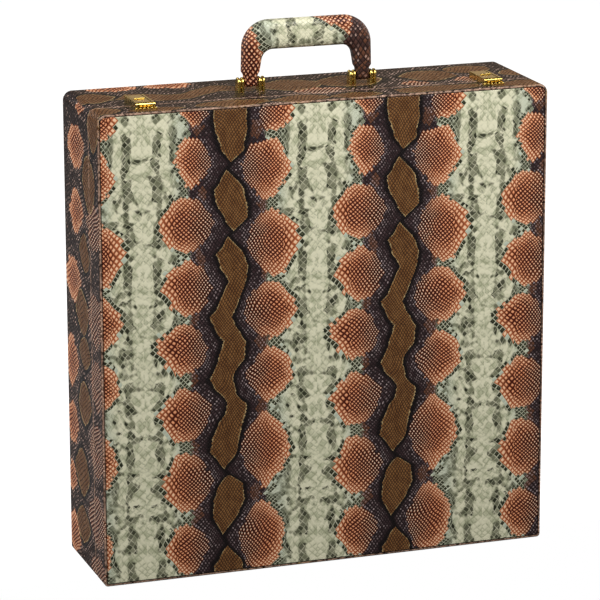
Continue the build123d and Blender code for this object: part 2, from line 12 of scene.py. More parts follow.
import bmesh
import bpy
import numpy as np
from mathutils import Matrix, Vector


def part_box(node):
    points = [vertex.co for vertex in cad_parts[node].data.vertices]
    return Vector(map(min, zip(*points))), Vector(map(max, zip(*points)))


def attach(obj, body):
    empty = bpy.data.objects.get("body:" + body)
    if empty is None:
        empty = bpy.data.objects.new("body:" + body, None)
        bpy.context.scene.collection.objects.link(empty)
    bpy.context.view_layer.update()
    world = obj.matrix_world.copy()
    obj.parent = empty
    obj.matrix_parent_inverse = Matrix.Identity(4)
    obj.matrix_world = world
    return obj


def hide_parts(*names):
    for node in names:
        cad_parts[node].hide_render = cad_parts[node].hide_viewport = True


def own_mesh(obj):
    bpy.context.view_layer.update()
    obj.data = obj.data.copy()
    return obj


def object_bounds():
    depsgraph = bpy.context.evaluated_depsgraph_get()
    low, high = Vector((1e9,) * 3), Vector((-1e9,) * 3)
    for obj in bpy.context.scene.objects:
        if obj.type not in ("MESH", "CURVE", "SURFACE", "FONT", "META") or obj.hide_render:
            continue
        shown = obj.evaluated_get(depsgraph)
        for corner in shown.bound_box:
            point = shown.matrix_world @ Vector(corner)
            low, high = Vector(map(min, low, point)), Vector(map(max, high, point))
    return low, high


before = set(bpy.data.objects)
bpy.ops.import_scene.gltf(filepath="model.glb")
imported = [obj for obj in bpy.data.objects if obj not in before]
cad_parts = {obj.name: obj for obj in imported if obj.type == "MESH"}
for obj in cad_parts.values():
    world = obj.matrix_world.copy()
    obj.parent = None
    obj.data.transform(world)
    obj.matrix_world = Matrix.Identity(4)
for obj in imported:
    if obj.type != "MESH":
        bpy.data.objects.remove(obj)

CAD_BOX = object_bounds()
MM = 0.001
PER_METRE = 1000.0
WIDTH, DEPTH = (round((CAD_BOX[1][k] - CAD_BOX[0][k]) / MM, 1) for k in (0, 1))
HEIGHT = round(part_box("base_wall_top")[1][2] / MM, 1)

logging.basicConfig(level=logging.INFO, format="%(message)s")
log = logging.getLogger("chess_case")

Number = "Signal | float"
Colour = tuple[float, float, float, float]


def tint(red: float, green: float, blue: float) -> Colour:
    """Turn a display colour of 0 to 255 into the linear colour that shaders work in.

    Args:
        red: The display's red.
        green: The display's green.
        blue: The display's blue.

    Returns:
        The linear colour with an alpha of one.
    """
    shares = [c / 255 for c in (red, green, blue)]
    linear = [c / 12.92 if c <= 0.04045 else ((c + 0.055) / 1.055) ** 2.4 for c in shares]
    return (linear[0], linear[1], linear[2], 1.0)


def two_terms(operation: str, swapped: bool = False) -> Callable[["Signal", Number], "Signal"]:
    """Make a method of Signal that works on its value and another.

    Args:
        operation: The Math node's operation.
        swapped: Whether the other value comes first.

    Returns:
        The method.
    """

    def method(self: "Signal", other: Number) -> "Signal":
        """Add a Math node on this value and another."""
        terms = (other, self) if swapped else (self, other)
        return self.maths(operation, *terms)

    return method


def one_term(operation: str) -> Callable[["Signal"], "Signal"]:
    """Make a method of Signal that works on its value alone, from the Math node's operation."""

    def method(self: "Signal") -> "Signal":
        """Add a Math node on this value."""
        return self.maths(operation, self)

    return method


class Signal:
    """One value in a material's node tree, which Python's operators can work on."""

    __add__ = two_terms("ADD")
    __radd__ = two_terms("ADD", True)
    __sub__ = two_terms("SUBTRACT")
    __rsub__ = two_terms("SUBTRACT", True)
    __mul__ = two_terms("MULTIPLY")
    __rmul__ = two_terms("MULTIPLY", True)
    __truediv__ = two_terms("DIVIDE")
    __pow__ = two_terms("POWER")
    __gt__ = two_terms("GREATER_THAN")
    __lt__ = two_terms("LESS_THAN")
    __abs__ = one_term("ABSOLUTE")
    least = two_terms("MINIMUM")
    most = two_terms("MAXIMUM")
    floor = one_term("FLOOR")
    root = one_term("SQRT")
    sine = one_term("SINE")
    arc_sine = one_term("ARCSINE")
    sign = one_term("SIGN")

    def __init__(self, bench: "Bench", socket: bpy.types.NodeSocket) -> None:
        """Keep the bench and the output socket that carries the value."""
        self.bench = bench
        self.socket = socket

    def __neg__(self) -> "Signal":
        """Change the sign."""
        return self * -1.0

    def maths(self, operation: str, *terms: Number) -> "Signal":
        """Add a Math node.

        Args:
            operation: The node's operation.
            terms: What goes into its sockets, in order.

        Returns:
            The node's result.
        """
        node = self.bench.node("Math", {"operation": operation}, dict(enumerate(terms)))
        return self.bench.out(node)

    def wrap(self, low: float, high: float) -> "Signal":
        """Repeat the value between two limits."""
        return self.maths("WRAP", self, high, low)


class Run(Enum):
    """How a ramp runs between its stops."""

    STEPS = "CONSTANT"
    SLOPES = "LINEAR"


class Bench:
    """One material's node tree, with the tools that fill it.

    The capitals number the sockets of a Mix node that blends colours.
    """

    SHARE, FIRST, SECOND, BLEND = 0, 6, 7, 2

    def __init__(self, name: str) -> None:
        """Start a material with a Principled shader and nothing else.

        Args:
            name: The material's name.
        """
        self.material = bpy.data.materials.new(name)
        self.material.use_nodes = True
        self.tree = self.material.node_tree
        self.tree.nodes.clear()
        out = self.tree.nodes.new("ShaderNodeOutputMaterial")
        self.shader = self.tree.nodes.new("ShaderNodeBsdfPrincipled")
        self.tree.links.new(self.shader.outputs[0], out.inputs[0])

    def node(
        self, kind: str, settings: dict[str, object], inputs: dict[object, object]
    ) -> bpy.types.Node:
        """Add any node.

        Args:
            kind: The node's type, without its ShaderNode start.
            settings: The node's own settings, made before its sockets are fed.
            inputs: What each socket, by name or number, is fed.

        Returns:
            The node.
        """
        node = self.tree.nodes.new("ShaderNode" + kind)
        for name, value in settings.items():
            setattr(node, name, value)
        for key, value in inputs.items():
            self.feed(node.inputs[key], value)
        return node

    def feed(self, socket: bpy.types.NodeSocket, value: object) -> None:
        """Link a signal to a socket, or set the socket to a plain value.

        Args:
            socket: The socket to feed.
            value: A signal, or the value that the socket keeps.
        """
        if isinstance(value, Signal):
            self.tree.links.new(value.socket, socket)
        else:
            socket.default_value = value

    def out(self, node: bpy.types.Node, key: object = 0) -> Signal:
        """One output of a node as a signal."""
        return Signal(self, node.outputs[key])

    def split(self, vector: Signal) -> tuple[Signal, Signal, Signal]:
        """The three numbers of a vector or colour."""
        node = self.node("SeparateXYZ", {}, {0: vector})
        return self.out(node, 0), self.out(node, 1), self.out(node, 2)

    def vector(self, x: Number, y: Number, z: Number = 0.0) -> Signal:
        """A vector from three numbers."""
        return self.out(self.node("CombineXYZ", {}, {0: x, 1: y, 2: z}))

    def place(self) -> tuple[Signal, Signal, Signal]:
        """The point's place on the object, in millimetres."""
        x, y, z = self.split(self.out(self.node("TexCoord", {}, {}), "Object"))
        return x * PER_METRE, y * PER_METRE, z * PER_METRE

    def chart(self) -> tuple[Signal, Signal]:
        """The point's place on the piece's own chart, in millimetres."""
        across, along, _ = self.split(self.out(self.node("UVMap", {"uv_map": "chart"}, {})))
        return across * PER_METRE, along * PER_METRE

    def noise(self, spot: Signal, scale: float, detail: float = 2.0, roughness: float = 0.5) -> Signal:
        """Soft noise of 0 to 1.

        Args:
            spot: Where to read the noise.
            scale: How fine it is, per unit of spot.
            detail: How many finer layers it adds.
            roughness: How strong they are.

        Returns:
            The noise.
        """
        inputs = {"Vector": spot, "Scale": scale, "Detail": detail, "Roughness": roughness}
        return self.out(self.node("TexNoise", {"noise_dimensions": "3D"}, inputs), 0)

    def lot(self, spot: Signal) -> tuple[Signal, Signal, Signal]:
        """Three random numbers of 0 to 1 that stay the same for the same spot."""
        node = self.node("TexWhiteNoise", {"noise_dimensions": "3D"}, {"Vector": spot})
        return self.split(self.out(node, "Color"))

    def ease(self, value: Number, low: float, high: float) -> Signal:
        """Rise smoothly from 0 at low to 1 at high."""
        inputs = {"Value": value, "From Min": low, "From Max": high}
        return self.out(self.node("MapRange", {"interpolation_type": "SMOOTHSTEP"}, inputs), 0)

    def mix(self, share: Number, first: Signal | Colour, second: Signal | Colour) -> Signal:
        """Blend two colours.

        Args:
            share: How much of the second colour there is, of 0 to 1.
            first: The first colour.
            second: The second colour.

        Returns:
            The blend.
        """
        inputs = {self.SHARE: share, self.FIRST: first, self.SECOND: second}
        node = self.node("Mix", {"data_type": "RGBA"}, inputs)
        return self.out(node, self.BLEND)

    def ramp(self, value: Signal, run: Run, stops: list[tuple[float, Colour]]) -> tuple[Signal, Signal]:
        """Look a value up between stops.

        Args:
            value: Where to look, of 0 to 1.
            run: How the ramp runs between its stops.
            stops: The place and the four numbers of each stop, in order.

        Returns:
            The first three numbers as a colour, and the fourth.
        """
        node = self.node("ValToRGB", {}, {})
        node.color_ramp.interpolation = run.value
        elements = node.color_ramp.elements
        for place, _ in stops[2:]:
            elements.new(place)
        for element, (place, colour) in zip(elements, stops):
            element.position = place
            element.color = colour
        self.feed(node.inputs[0], value)
        return self.out(node, 0), self.out(node, 1)

    def relief(self, height: Signal, depth: float, strength: float = 1.0) -> None:
        """Press a height of 0 to 1 into the surface, to a depth in metres."""
        inputs = {"Height": height, "Distance": depth, "Strength": strength}
        self.set(Normal=self.out(self.node("Bump", {}, inputs)))

    def set(self, **values: object) -> None:
        """Feed the shader's sockets, named with _ for each space."""
        for name, value in values.items():
            self.feed(self.shader.inputs[name.replace("_", " ")], value)


class PatchColumn:
    """Patches that follow each other along the skin, placed one by one."""

    REACH = 130.0
    LARGEST = 60.0

    def __init__(self, length: float, *patches: tuple[float, float, float, float]) -> None:
        """Keep the column's sizes, in millimetres.

        Args:
            length: The skin's length.
            patches: Each patch's middle across, middle along, half width and half height.
        """
        self.length = length
        self.patches = patches

    def distance(self, across: Signal, along: Signal) -> tuple[Signal, Signal]:
        """How far a point is from the nearest patch's middle.

        The distance is a mean of the round one and the diamond one, each in half sizes, so it is 1 on
        the edge of a rounded diamond.

        Args:
            across: The point's place across the skin.
            along: The point's place along the skin.

        Returns:
            The distance, 0 at a middle and about 1 on the edge, and the part of it across the skin.
        """
        width, span = 2 * self.REACH, 3 * self.length
        stops, before = [], None
        for middle, height, half_width, half_height in self.patches:
            start = 0.0 if before is None else (before + height) / 2 / self.length
            first, second = (middle + self.REACH) / width, (height + self.length) / span
            stops.append((start, (first, second, half_width / self.LARGEST, half_height / self.LARGEST)))
            before = height
        colour, half_height = along.bench.ramp(along / self.length, Run.STEPS, stops)
        first, second, half_width = along.bench.split(colour)
        x = (across - (first * width - self.REACH)) / (half_width * self.LARGEST)
        y = (along - (second * span - self.length)) / (half_height * self.LARGEST)
        round_part = (x * x + y * y).root()
        return 0.64 * round_part + 0.3 * (abs(x) + abs(y)), x


class Spine:
    """The brown line that winds down the print."""

    REACH = 40.0

    def __init__(self, length: float, *course: tuple[float, float, float]) -> None:
        """Keep the line's sizes, in millimetres.

        Args:
            length: The skin's length.
            course: Stops of the line, each with its place along, its middle and its half width.
        """
        self.length = length
        self.course = course

    def inside(self, across: Signal, along: Signal) -> Signal:
        """How far inside the line's edge a point is.

        Args:
            across: The point's place across the skin.
            along: The point's place along the skin.

        Returns:
            The depth in millimetres, less than 0 outside.
        """
        width = 2 * self.REACH
        stops = [
            (at / self.length, (middle / width + 0.5, half / width + 0.5, 0.0, 1.0))
            for at, middle, half in self.course
        ]
        colour, _ = along.bench.ramp(along / self.length, Run.SLOPES, stops)
        middle, half, _ = along.bench.split(colour)
        return (half - 0.5) * width - abs(across - (middle - 0.5) * width)


@dataclass(frozen=True)
class Zones:
    """Where a scale lies in the print, with plain numbers for the zones that a print doesn't have.

    patch and island are distances from a middle, 1 on the edge, and inward is the patch's own part
    across. spine and pale are depths in millimetres, less than 0 outside, and pale_across is the
    distance from the pale band's middle. outside and edge_highlight are shares of 0 to 1; edge_highlight
    marks where a painted highlight runs along the walls' turned edges.
    """

    patch: Number
    inward: Number
    spine: Number = -30.0
    island: Number = 9.0
    pale: Number = -60.0
    pale_across: Number = 60.0
    outside: Number = 0.0
    edge_highlight: Number = 0.0


@dataclass(frozen=True)
class PaleBands:
    """The print of the two boards: pale bands with patches and a brown line between them.

    It repeats across with a period. stretch packs the rows of scales closer by the brown line, and
    row_squeeze makes them taller in the pale bands. wander is how far noise frays the bands' edges.
    """

    period: float = 172.7
    spine_x: float = -96.7
    top: float = HEIGHT
    stretch: float = 0.38
    row_squeeze: float = 0.36
    pale_edge: float = 50.0
    net_edge: float = 37.0
    band_middle: float = -2.0
    wander: float = 14.0
    back_shift: float = 61.0

    LEFT = PatchColumn(
        HEIGHT,
        (-34, 4, 13, 13), (-36.7, 50, 16.5, 24), (-43.3, 110, 25, 27), (-43.3, 171.7, 24, 25.5),
        (-48.3, 231.7, 25, 25), (-46.7, 296.7, 25, 27), (-45, 365, 23, 27), (-45, 430, 20, 26),
    )
    RIGHT = PatchColumn(
        HEIGHT,
        (45, 9, 17, 19), (35, 60, 23.5, 31), (41.7, 133, 25, 31), (40, 200, 25, 27),
        (38.3, 263, 21, 27), (33.3, 336.7, 23, 35), (30, 425, 22, 34),
    )
    ISLANDS_LEFT = PatchColumn(
        HEIGHT,
        (-31, 18, 7, 7), (-26, 82, 4, 7), (-31.7, 141.7, 4.5, 11), (-37, 201, 5, 8),
        (-39, 262, 6, 9), (-38, 331, 6, 10), (-36, 398, 6, 8),
    )
    ISLANDS_RIGHT = PatchColumn(
        HEIGHT,
        (27, 22, 9, 9), (35, 96, 9, 8), (38, 165, 9, 11), (32, 230, 7, 8), (30, 297, 7, 10),
        (24, 380, 7, 9),
    )
    SPINE = Spine(
        HEIGHT,
        (0, 0, 15), (23, 1, 16), (40, 2.3, 12), (52.7, 2.3, -1), (58.3, -2, -1), (76.7, -3.3, 13.3),
        (93.3, 2, 15.3), (110, 6, 10.3), (121.3, 3.0, -0.5), (126, -1, -0.5), (140, -2.3, 12.3),
        (156.7, 4.3, 12.7), (170, 6.7, 9), (183.3, -2.3, 10.7), (200, -9.7, 11.3), (213.3, -5, 11.7),
        (230, 4.3, 10.7), (246.7, 0, 13.3), (263.3, -11, 12.7), (276.7, -6.7, 10), (290, 4, 9.7),
        (303.3, 3, 11.3), (320, -5, 15), (336.7, -8.7, 13.7), (353.5, -7, -1), (358.7, -3.3, -1),
        (370, -1.7, 11.7), (386.7, -5, 16), (403.3, -6.7, 12), (423.7, -9, -1), (430.7, -5.3, -1),
        (446.7, -3.3, 14),
    )

    def lay(self, bench: Bench) -> tuple[Signal, Signal]:
        """The point's place across from the nearest spine, and along from the top."""
        x, y, z = bench.place()
        across = x - self.spine_x + (y > 0.0) * self.back_shift
        return across.wrap(-self.period / 2, self.period / 2), self.top - z

    def rows(self, u: Signal) -> tuple[Signal, Signal, Signal]:
        """Where the rows of scales run: closer by the spine, and taller in the pale bands.

        The stretched place across is u + A sin(2 pi u / period), so its slope is largest at the spine.

        Args:
            u: The place across.

        Returns:
            The stretched place across, its slope, and the height's factor.
        """
        turn = 2 * math.pi / self.period
        swing = self.stretch / turn
        pale = abs(u) > self.pale_edge + 4.0
        slope = 1.0 + self.stretch * (u * turn + math.pi / 2).sine()
        return u + swing * (u * turn).sine(), slope, 1.0 - self.row_squeeze * pale

    def zones(self, scale: "Scale") -> Zones:
        """Sort a scale into the print's zones.

        Args:
            scale: The scale, whose noise frays the bands' edges.

        Returns:
            The zones.
        """
        bench, u, v = scale.bench, scale.middle_u, scale.middle_v
        left, left_part = self.LEFT.distance(u, v)
        right, right_part = self.RIGHT.distance(u, v)
        patch = left.least(right)
        left_island, _ = self.ISLANDS_LEFT.distance(u, v)
        right_island, _ = self.ISLANDS_RIGHT.distance(u, v)
        side = abs(u - self.band_middle)
        shift = (scale.wander - 0.5) * self.wander
        band = side - self.pale_edge + shift
        wedge = (side - self.net_edge + shift * 0.5).least((patch - 1.3) * 22.0)
        ring = (patch - 1.13) * 24.0 + shift * 0.3
        return Zones(
            patch=patch,
            inward=left_part - (u > 0.0) * (right_part + left_part),
            spine=self.SPINE.inside(scale.u, scale.v),
            island=left_island.least(right_island),
            pale=band.most(wedge).least(ring),
            pale_across=self.period / 2 - abs(scale.u),
            outside=bench.ease(side + shift * 0.5, self.net_edge, self.net_edge + 3.0),
        )


@dataclass(frozen=True)
class CaseSides:
    """The print of the walls: a skin wrapped round the case, with dark ground and no pale band."""

    half_width: float = WIDTH / 2
    top: float = HEIGHT
    back: float = DEPTH / 2
    corner: float = 9.0
    row_width: float = 0.66
    row_height: float = 0.94
    band_depth: float = 55.0
    brown_mm: float = 16.0
    base_middle_y: float = 15.0
    seam_y: float = -28.6
    lid_lip_y: float = -31.2
    front_y: float = -59.9

    REAR = PatchColumn(
        HEIGHT,
        (57, 3, 14, 9), (45, 44, 27, 22), (43, 108, 23, 21), (28, 177, 27, 23), (18, 262, 21, 23),
        (15, 323, 20, 22), (12, 382, 14, 16), (16, 438, 20, 22),
    )
    FORE = PatchColumn(
        HEIGHT,
        (128, 40, 4, 4), (105, 111, 24, 23), (105, 200, 25, 25), (107, 264, 22, 24),
        (103, 331, 26, 26), (99, 402, 29, 24), (100, 452, 23, 14),
    )
    DIAMONDS = PatchColumn(
        HEIGHT,
        (106, 14, 19, 23), (90, 72, 21, 27), (70, 143, 17, 16), (58, 205, 22, 20),
        (64, 243, 18, 17), (62, 295, 22, 20), (48, 366, 23, 23), (48, 420, 22, 17),
    )
    TOP_PATCHES = PatchColumn(
        WIDTH,
        (8, 46, 11, 24), (9, 103, 14, 22), (80, 232, 13, 24), (77, 330, 10, 14), (76, 386, 12, 14),
        (60, 470, 8, 8),
    )
    TOP_DIAMONDS = PatchColumn(
        WIDTH,
        (46, 14, 21, 22), (46, 214, 25, 34), (46, 274, 27, 32), (46, 356, 24, 28),
        (30, 402, 18, 24), (58, 442, 16, 18),
    )
    TOP_BAND = Spine(
        WIDTH,
        (0, 6, 1), (38, 2, 1), (52, -6, 13), (70, 3, 15), (88, 10, 14), (104, 9, 13), (120, -4, 13),
        (140, -16, 14), (156, -14, 14), (168, -4, 12), (182, -8, 3), (190, -6, -20), (450, 0, -20),
    )
    LID_BAND = PatchColumn(
        WIDTH,
        (106, 8, 15, 20), (112, 62, 8, 26), (109, 136, 14, 36), (110, 205, 13, 32),
        (112, 258, 12, 24), (108, 340, 13, 52), (110, 428, 13, 30),
    )

    def lay(self, bench: Bench) -> tuple[Signal, Signal]:
        """Unroll the walls: the depth from the back, and the way round from the middle of the top.

        Each point belongs to the nearest outer face. The skin also turns in over the walls' edges, so
        the depth there runs on by the distance from that face. Round the top corners the way round is
        the arc's length.

        Args:
            bench: The material's bench.

        Returns:
            The depth and the way round, which is more than the top's half width on the sides.
        """
        x, y, z = bench.place()
        side, above = self.half_width - abs(x), self.top - z
        inward = side.least(above).least(z).most(0.0)
        depth = self.back - y + inward * (self.base_middle_y - y).sign()
        arc_x = self.round_corner(abs(x), self.half_width)
        arc_z = self.round_corner(z, self.top)
        is_side = side < above.least(z)
        way = arc_x + is_side * (self.corner_way() * 2 + self.top - self.half_width - arc_z - arc_x)
        return depth, way * x.sign()

    def corner_way(self) -> float:
        """How far the middle of a top corner is along the top, measured round the arc."""
        return self.half_width - self.corner + self.corner * math.pi / 4

    def round_corner(self, reach: Signal, face: float) -> Signal:
        """Stretch the last millimetres of a face to the length of their arc, r asin(d / r).

        Args:
            reach: How far the point is from the case's middle.
            face: How far the face is.

        Returns:
            How far the point is along the unrolled skin.
        """
        start = face - self.corner
        share = ((reach - start) / self.corner).most(0.0).least(math.sqrt(0.5))
        return reach.least(start) + share.arc_sine() * self.corner

    def rows(self, u: Signal) -> tuple[Signal, float, float]:
        """Where the rows of scales run: evenly, wider than on the boards."""
        return u * self.row_width, self.row_width, self.row_height

    def zones(self, scale: "Scale") -> Zones:
        """Sort a scale into the print's zones.

        Args:
            scale: The scale, at a depth and a way round.

        Returns:
            The zones.
        """
        is_side, down, along = self.faces(scale.middle_v)
        rear, rear_part = self.REAR.distance(scale.middle_u, down)
        fore, _ = self.FORE.distance(scale.middle_u, down)
        tops, _ = self.TOP_PATCHES.distance(scale.middle_u, along)
        near_side, near_down, near_along = self.faces(scale.v)
        diamonds, _ = self.DIAMONDS.distance(scale.u, near_down)
        top_diamonds, _ = self.TOP_DIAMONDS.distance(scale.u, near_along)
        lid_band, _ = self.LID_BAND.distance(scale.u, near_along)
        band = self.TOP_BAND.inside(scale.u - self.band_depth, near_along)
        side_brown = (1.0 - diamonds) * self.brown_mm
        top_brown = ((1.0 - top_diamonds.least(lid_band)) * self.brown_mm).most(band)
        return Zones(
            patch=tops + is_side * (rear.least(fore) - tops),
            inward=rear_part * 0.4,
            spine=top_brown + near_side * (side_brown - top_brown),
            edge_highlight=self.edges(scale.bench),
        )

    def faces(self, way: Signal) -> tuple[Signal, Signal, Signal]:
        """Tell the sides from the top.

        Args:
            way: The way round from the middle of the top.

        Returns:
            Whether the point is on a side, how far down that side, and how far along the top.
        """
        corner = self.corner_way()
        return abs(way) > corner, abs(way) - corner + (self.half_width - corner), way + self.half_width

    def edges(self, bench: Bench) -> Signal:
        """Find the turned edges that catch the light: beside the seam, and round the front board.

        Args:
            bench: The material's bench.

        Returns:
            How near to an edge the point is, 1 on it.
        """
        _, y, _ = bench.place()
        seam = 1.0 - bench.ease(abs(y - self.seam_y), 0.4, 1.3)
        lip = 1.0 - bench.ease(abs(y - self.lid_lip_y), 0.2, 0.8)
        front = bench.ease(self.front_y - y, 0.0, 0.7)
        return seam.most(lip * 0.5).most(front)


@dataclass(frozen=True)
class HandleWrap:
    """The print of the carrying handle, in millimetres from the middle of its foot line.

    Three slanting edges part copper from cream, cream from copper and copper from dark ground. Each is
    (its place, the height where it has that place, its lean), and slant turns a distance along the
    case from the second edge into the one across it.
    """

    first_edge: tuple[float, float, float] = (-54.3, 56.7, -0.405)
    second_edge: tuple[float, float, float] = (12.0, 64.8, -1.06)
    third_edge: tuple[float, float, float] = (34.5, 41.0, 0.36)
    slant: float = 0.69
    ring: float = 4.5
    row_width: float = 0.78
    row_height: float = 0.72
    copper_mm: float = 16.0
    band_middle: float = -4.0

    def lay(self, bench: Bench) -> tuple[Signal, Signal]:
        """The place along the case's width, and up."""
        return bench.chart()

    def rows(self, u: Signal) -> tuple[Signal, float, float]:
        """Where the rows of scales run: evenly, larger than on the case."""
        return u * self.row_width, self.row_width, self.row_height

    def past(self, u: Signal, v: Signal, edge: tuple[float, float, float]) -> Signal:
        """How far right of an edge a point is, from the edge's (x, height, lean)."""
        return u - edge[0] - (v - edge[1]) * edge[2]

    def zones(self, scale: "Scale") -> Zones:
        """Sort a scale into the print's zones, whose edges run aslant over the handle.

        Args:
            scale: The scale, at a place along the case and a height.

        Returns:
            The zones.
        """
        bench, u, v = scale.bench, scale.middle_u, scale.middle_v
        first = self.past(u, v, self.first_edge)
        second = self.past(u, v, self.second_edge) * self.slant
        third = self.past(u, v, self.third_edge)
        copper = first.least((self.ring - second).most(third))
        return Zones(
            patch=1.0 + copper / self.copper_mm,
            # A fixed share inward, which brightens the patches' painted highlight dots.
            inward=0.25,
            island=2.0 - bench.ease(third, 4.0, 16.0) * 1.04,
            pale=(first - 7.0).least(-second).least(-third),
            pale_across=abs(scale.u - self.band_middle),
            outside=1.0 - bench.ease(third, -3.0, 0.0),
        )


@dataclass(frozen=True)
class PrintInk:
    """The colours of the print, and of the highlights painted on it."""

    copper: Colour = tint(208, 100, 52)
    red: Colour = tint(138, 50, 22)
    orange: Colour = tint(255, 172, 120)
    # Painted highlight colours for the scales' bright spots.
    highlight_peach: Colour = tint(255, 216, 178)
    highlight_spark: Colour = tint(255, 234, 208)
    copper_groove: Colour = tint(70, 22, 8)
    dark_groove: Colour = tint(38, 16, 10)
    rim_groove: Colour = tint(184, 98, 58)
    brown: Colour = tint(150, 106, 62)
    deep_brown: Colour = tint(98, 60, 30)
    brown_groove: Colour = tint(44, 27, 15)
    tan: Colour = tint(206, 180, 128)
    # Painted highlight colour for the turned edges.
    edge_highlight: Colour = tint(204, 166, 142)
    ground: Colour = tint(64, 46, 48)
    ground_groove: Colour = tint(22, 15, 15)
    # Painted highlight colour for the dots on the dark ground.
    highlight_lilac: Colour = tint(206, 186, 184)
    island: Colour = tint(108, 70, 52)
    cream: Colour = tint(238, 234, 202)
    dull_cream: Colour = tint(190, 192, 158)
    cool_cream: Colour = tint(196, 204, 184)
    cream_groove: Colour = tint(148, 150, 118)
    net: Colour = tint(214, 214, 184)
    olive: Colour = tint(98, 100, 74)
    deep_olive: Colour = tint(42, 44, 30)


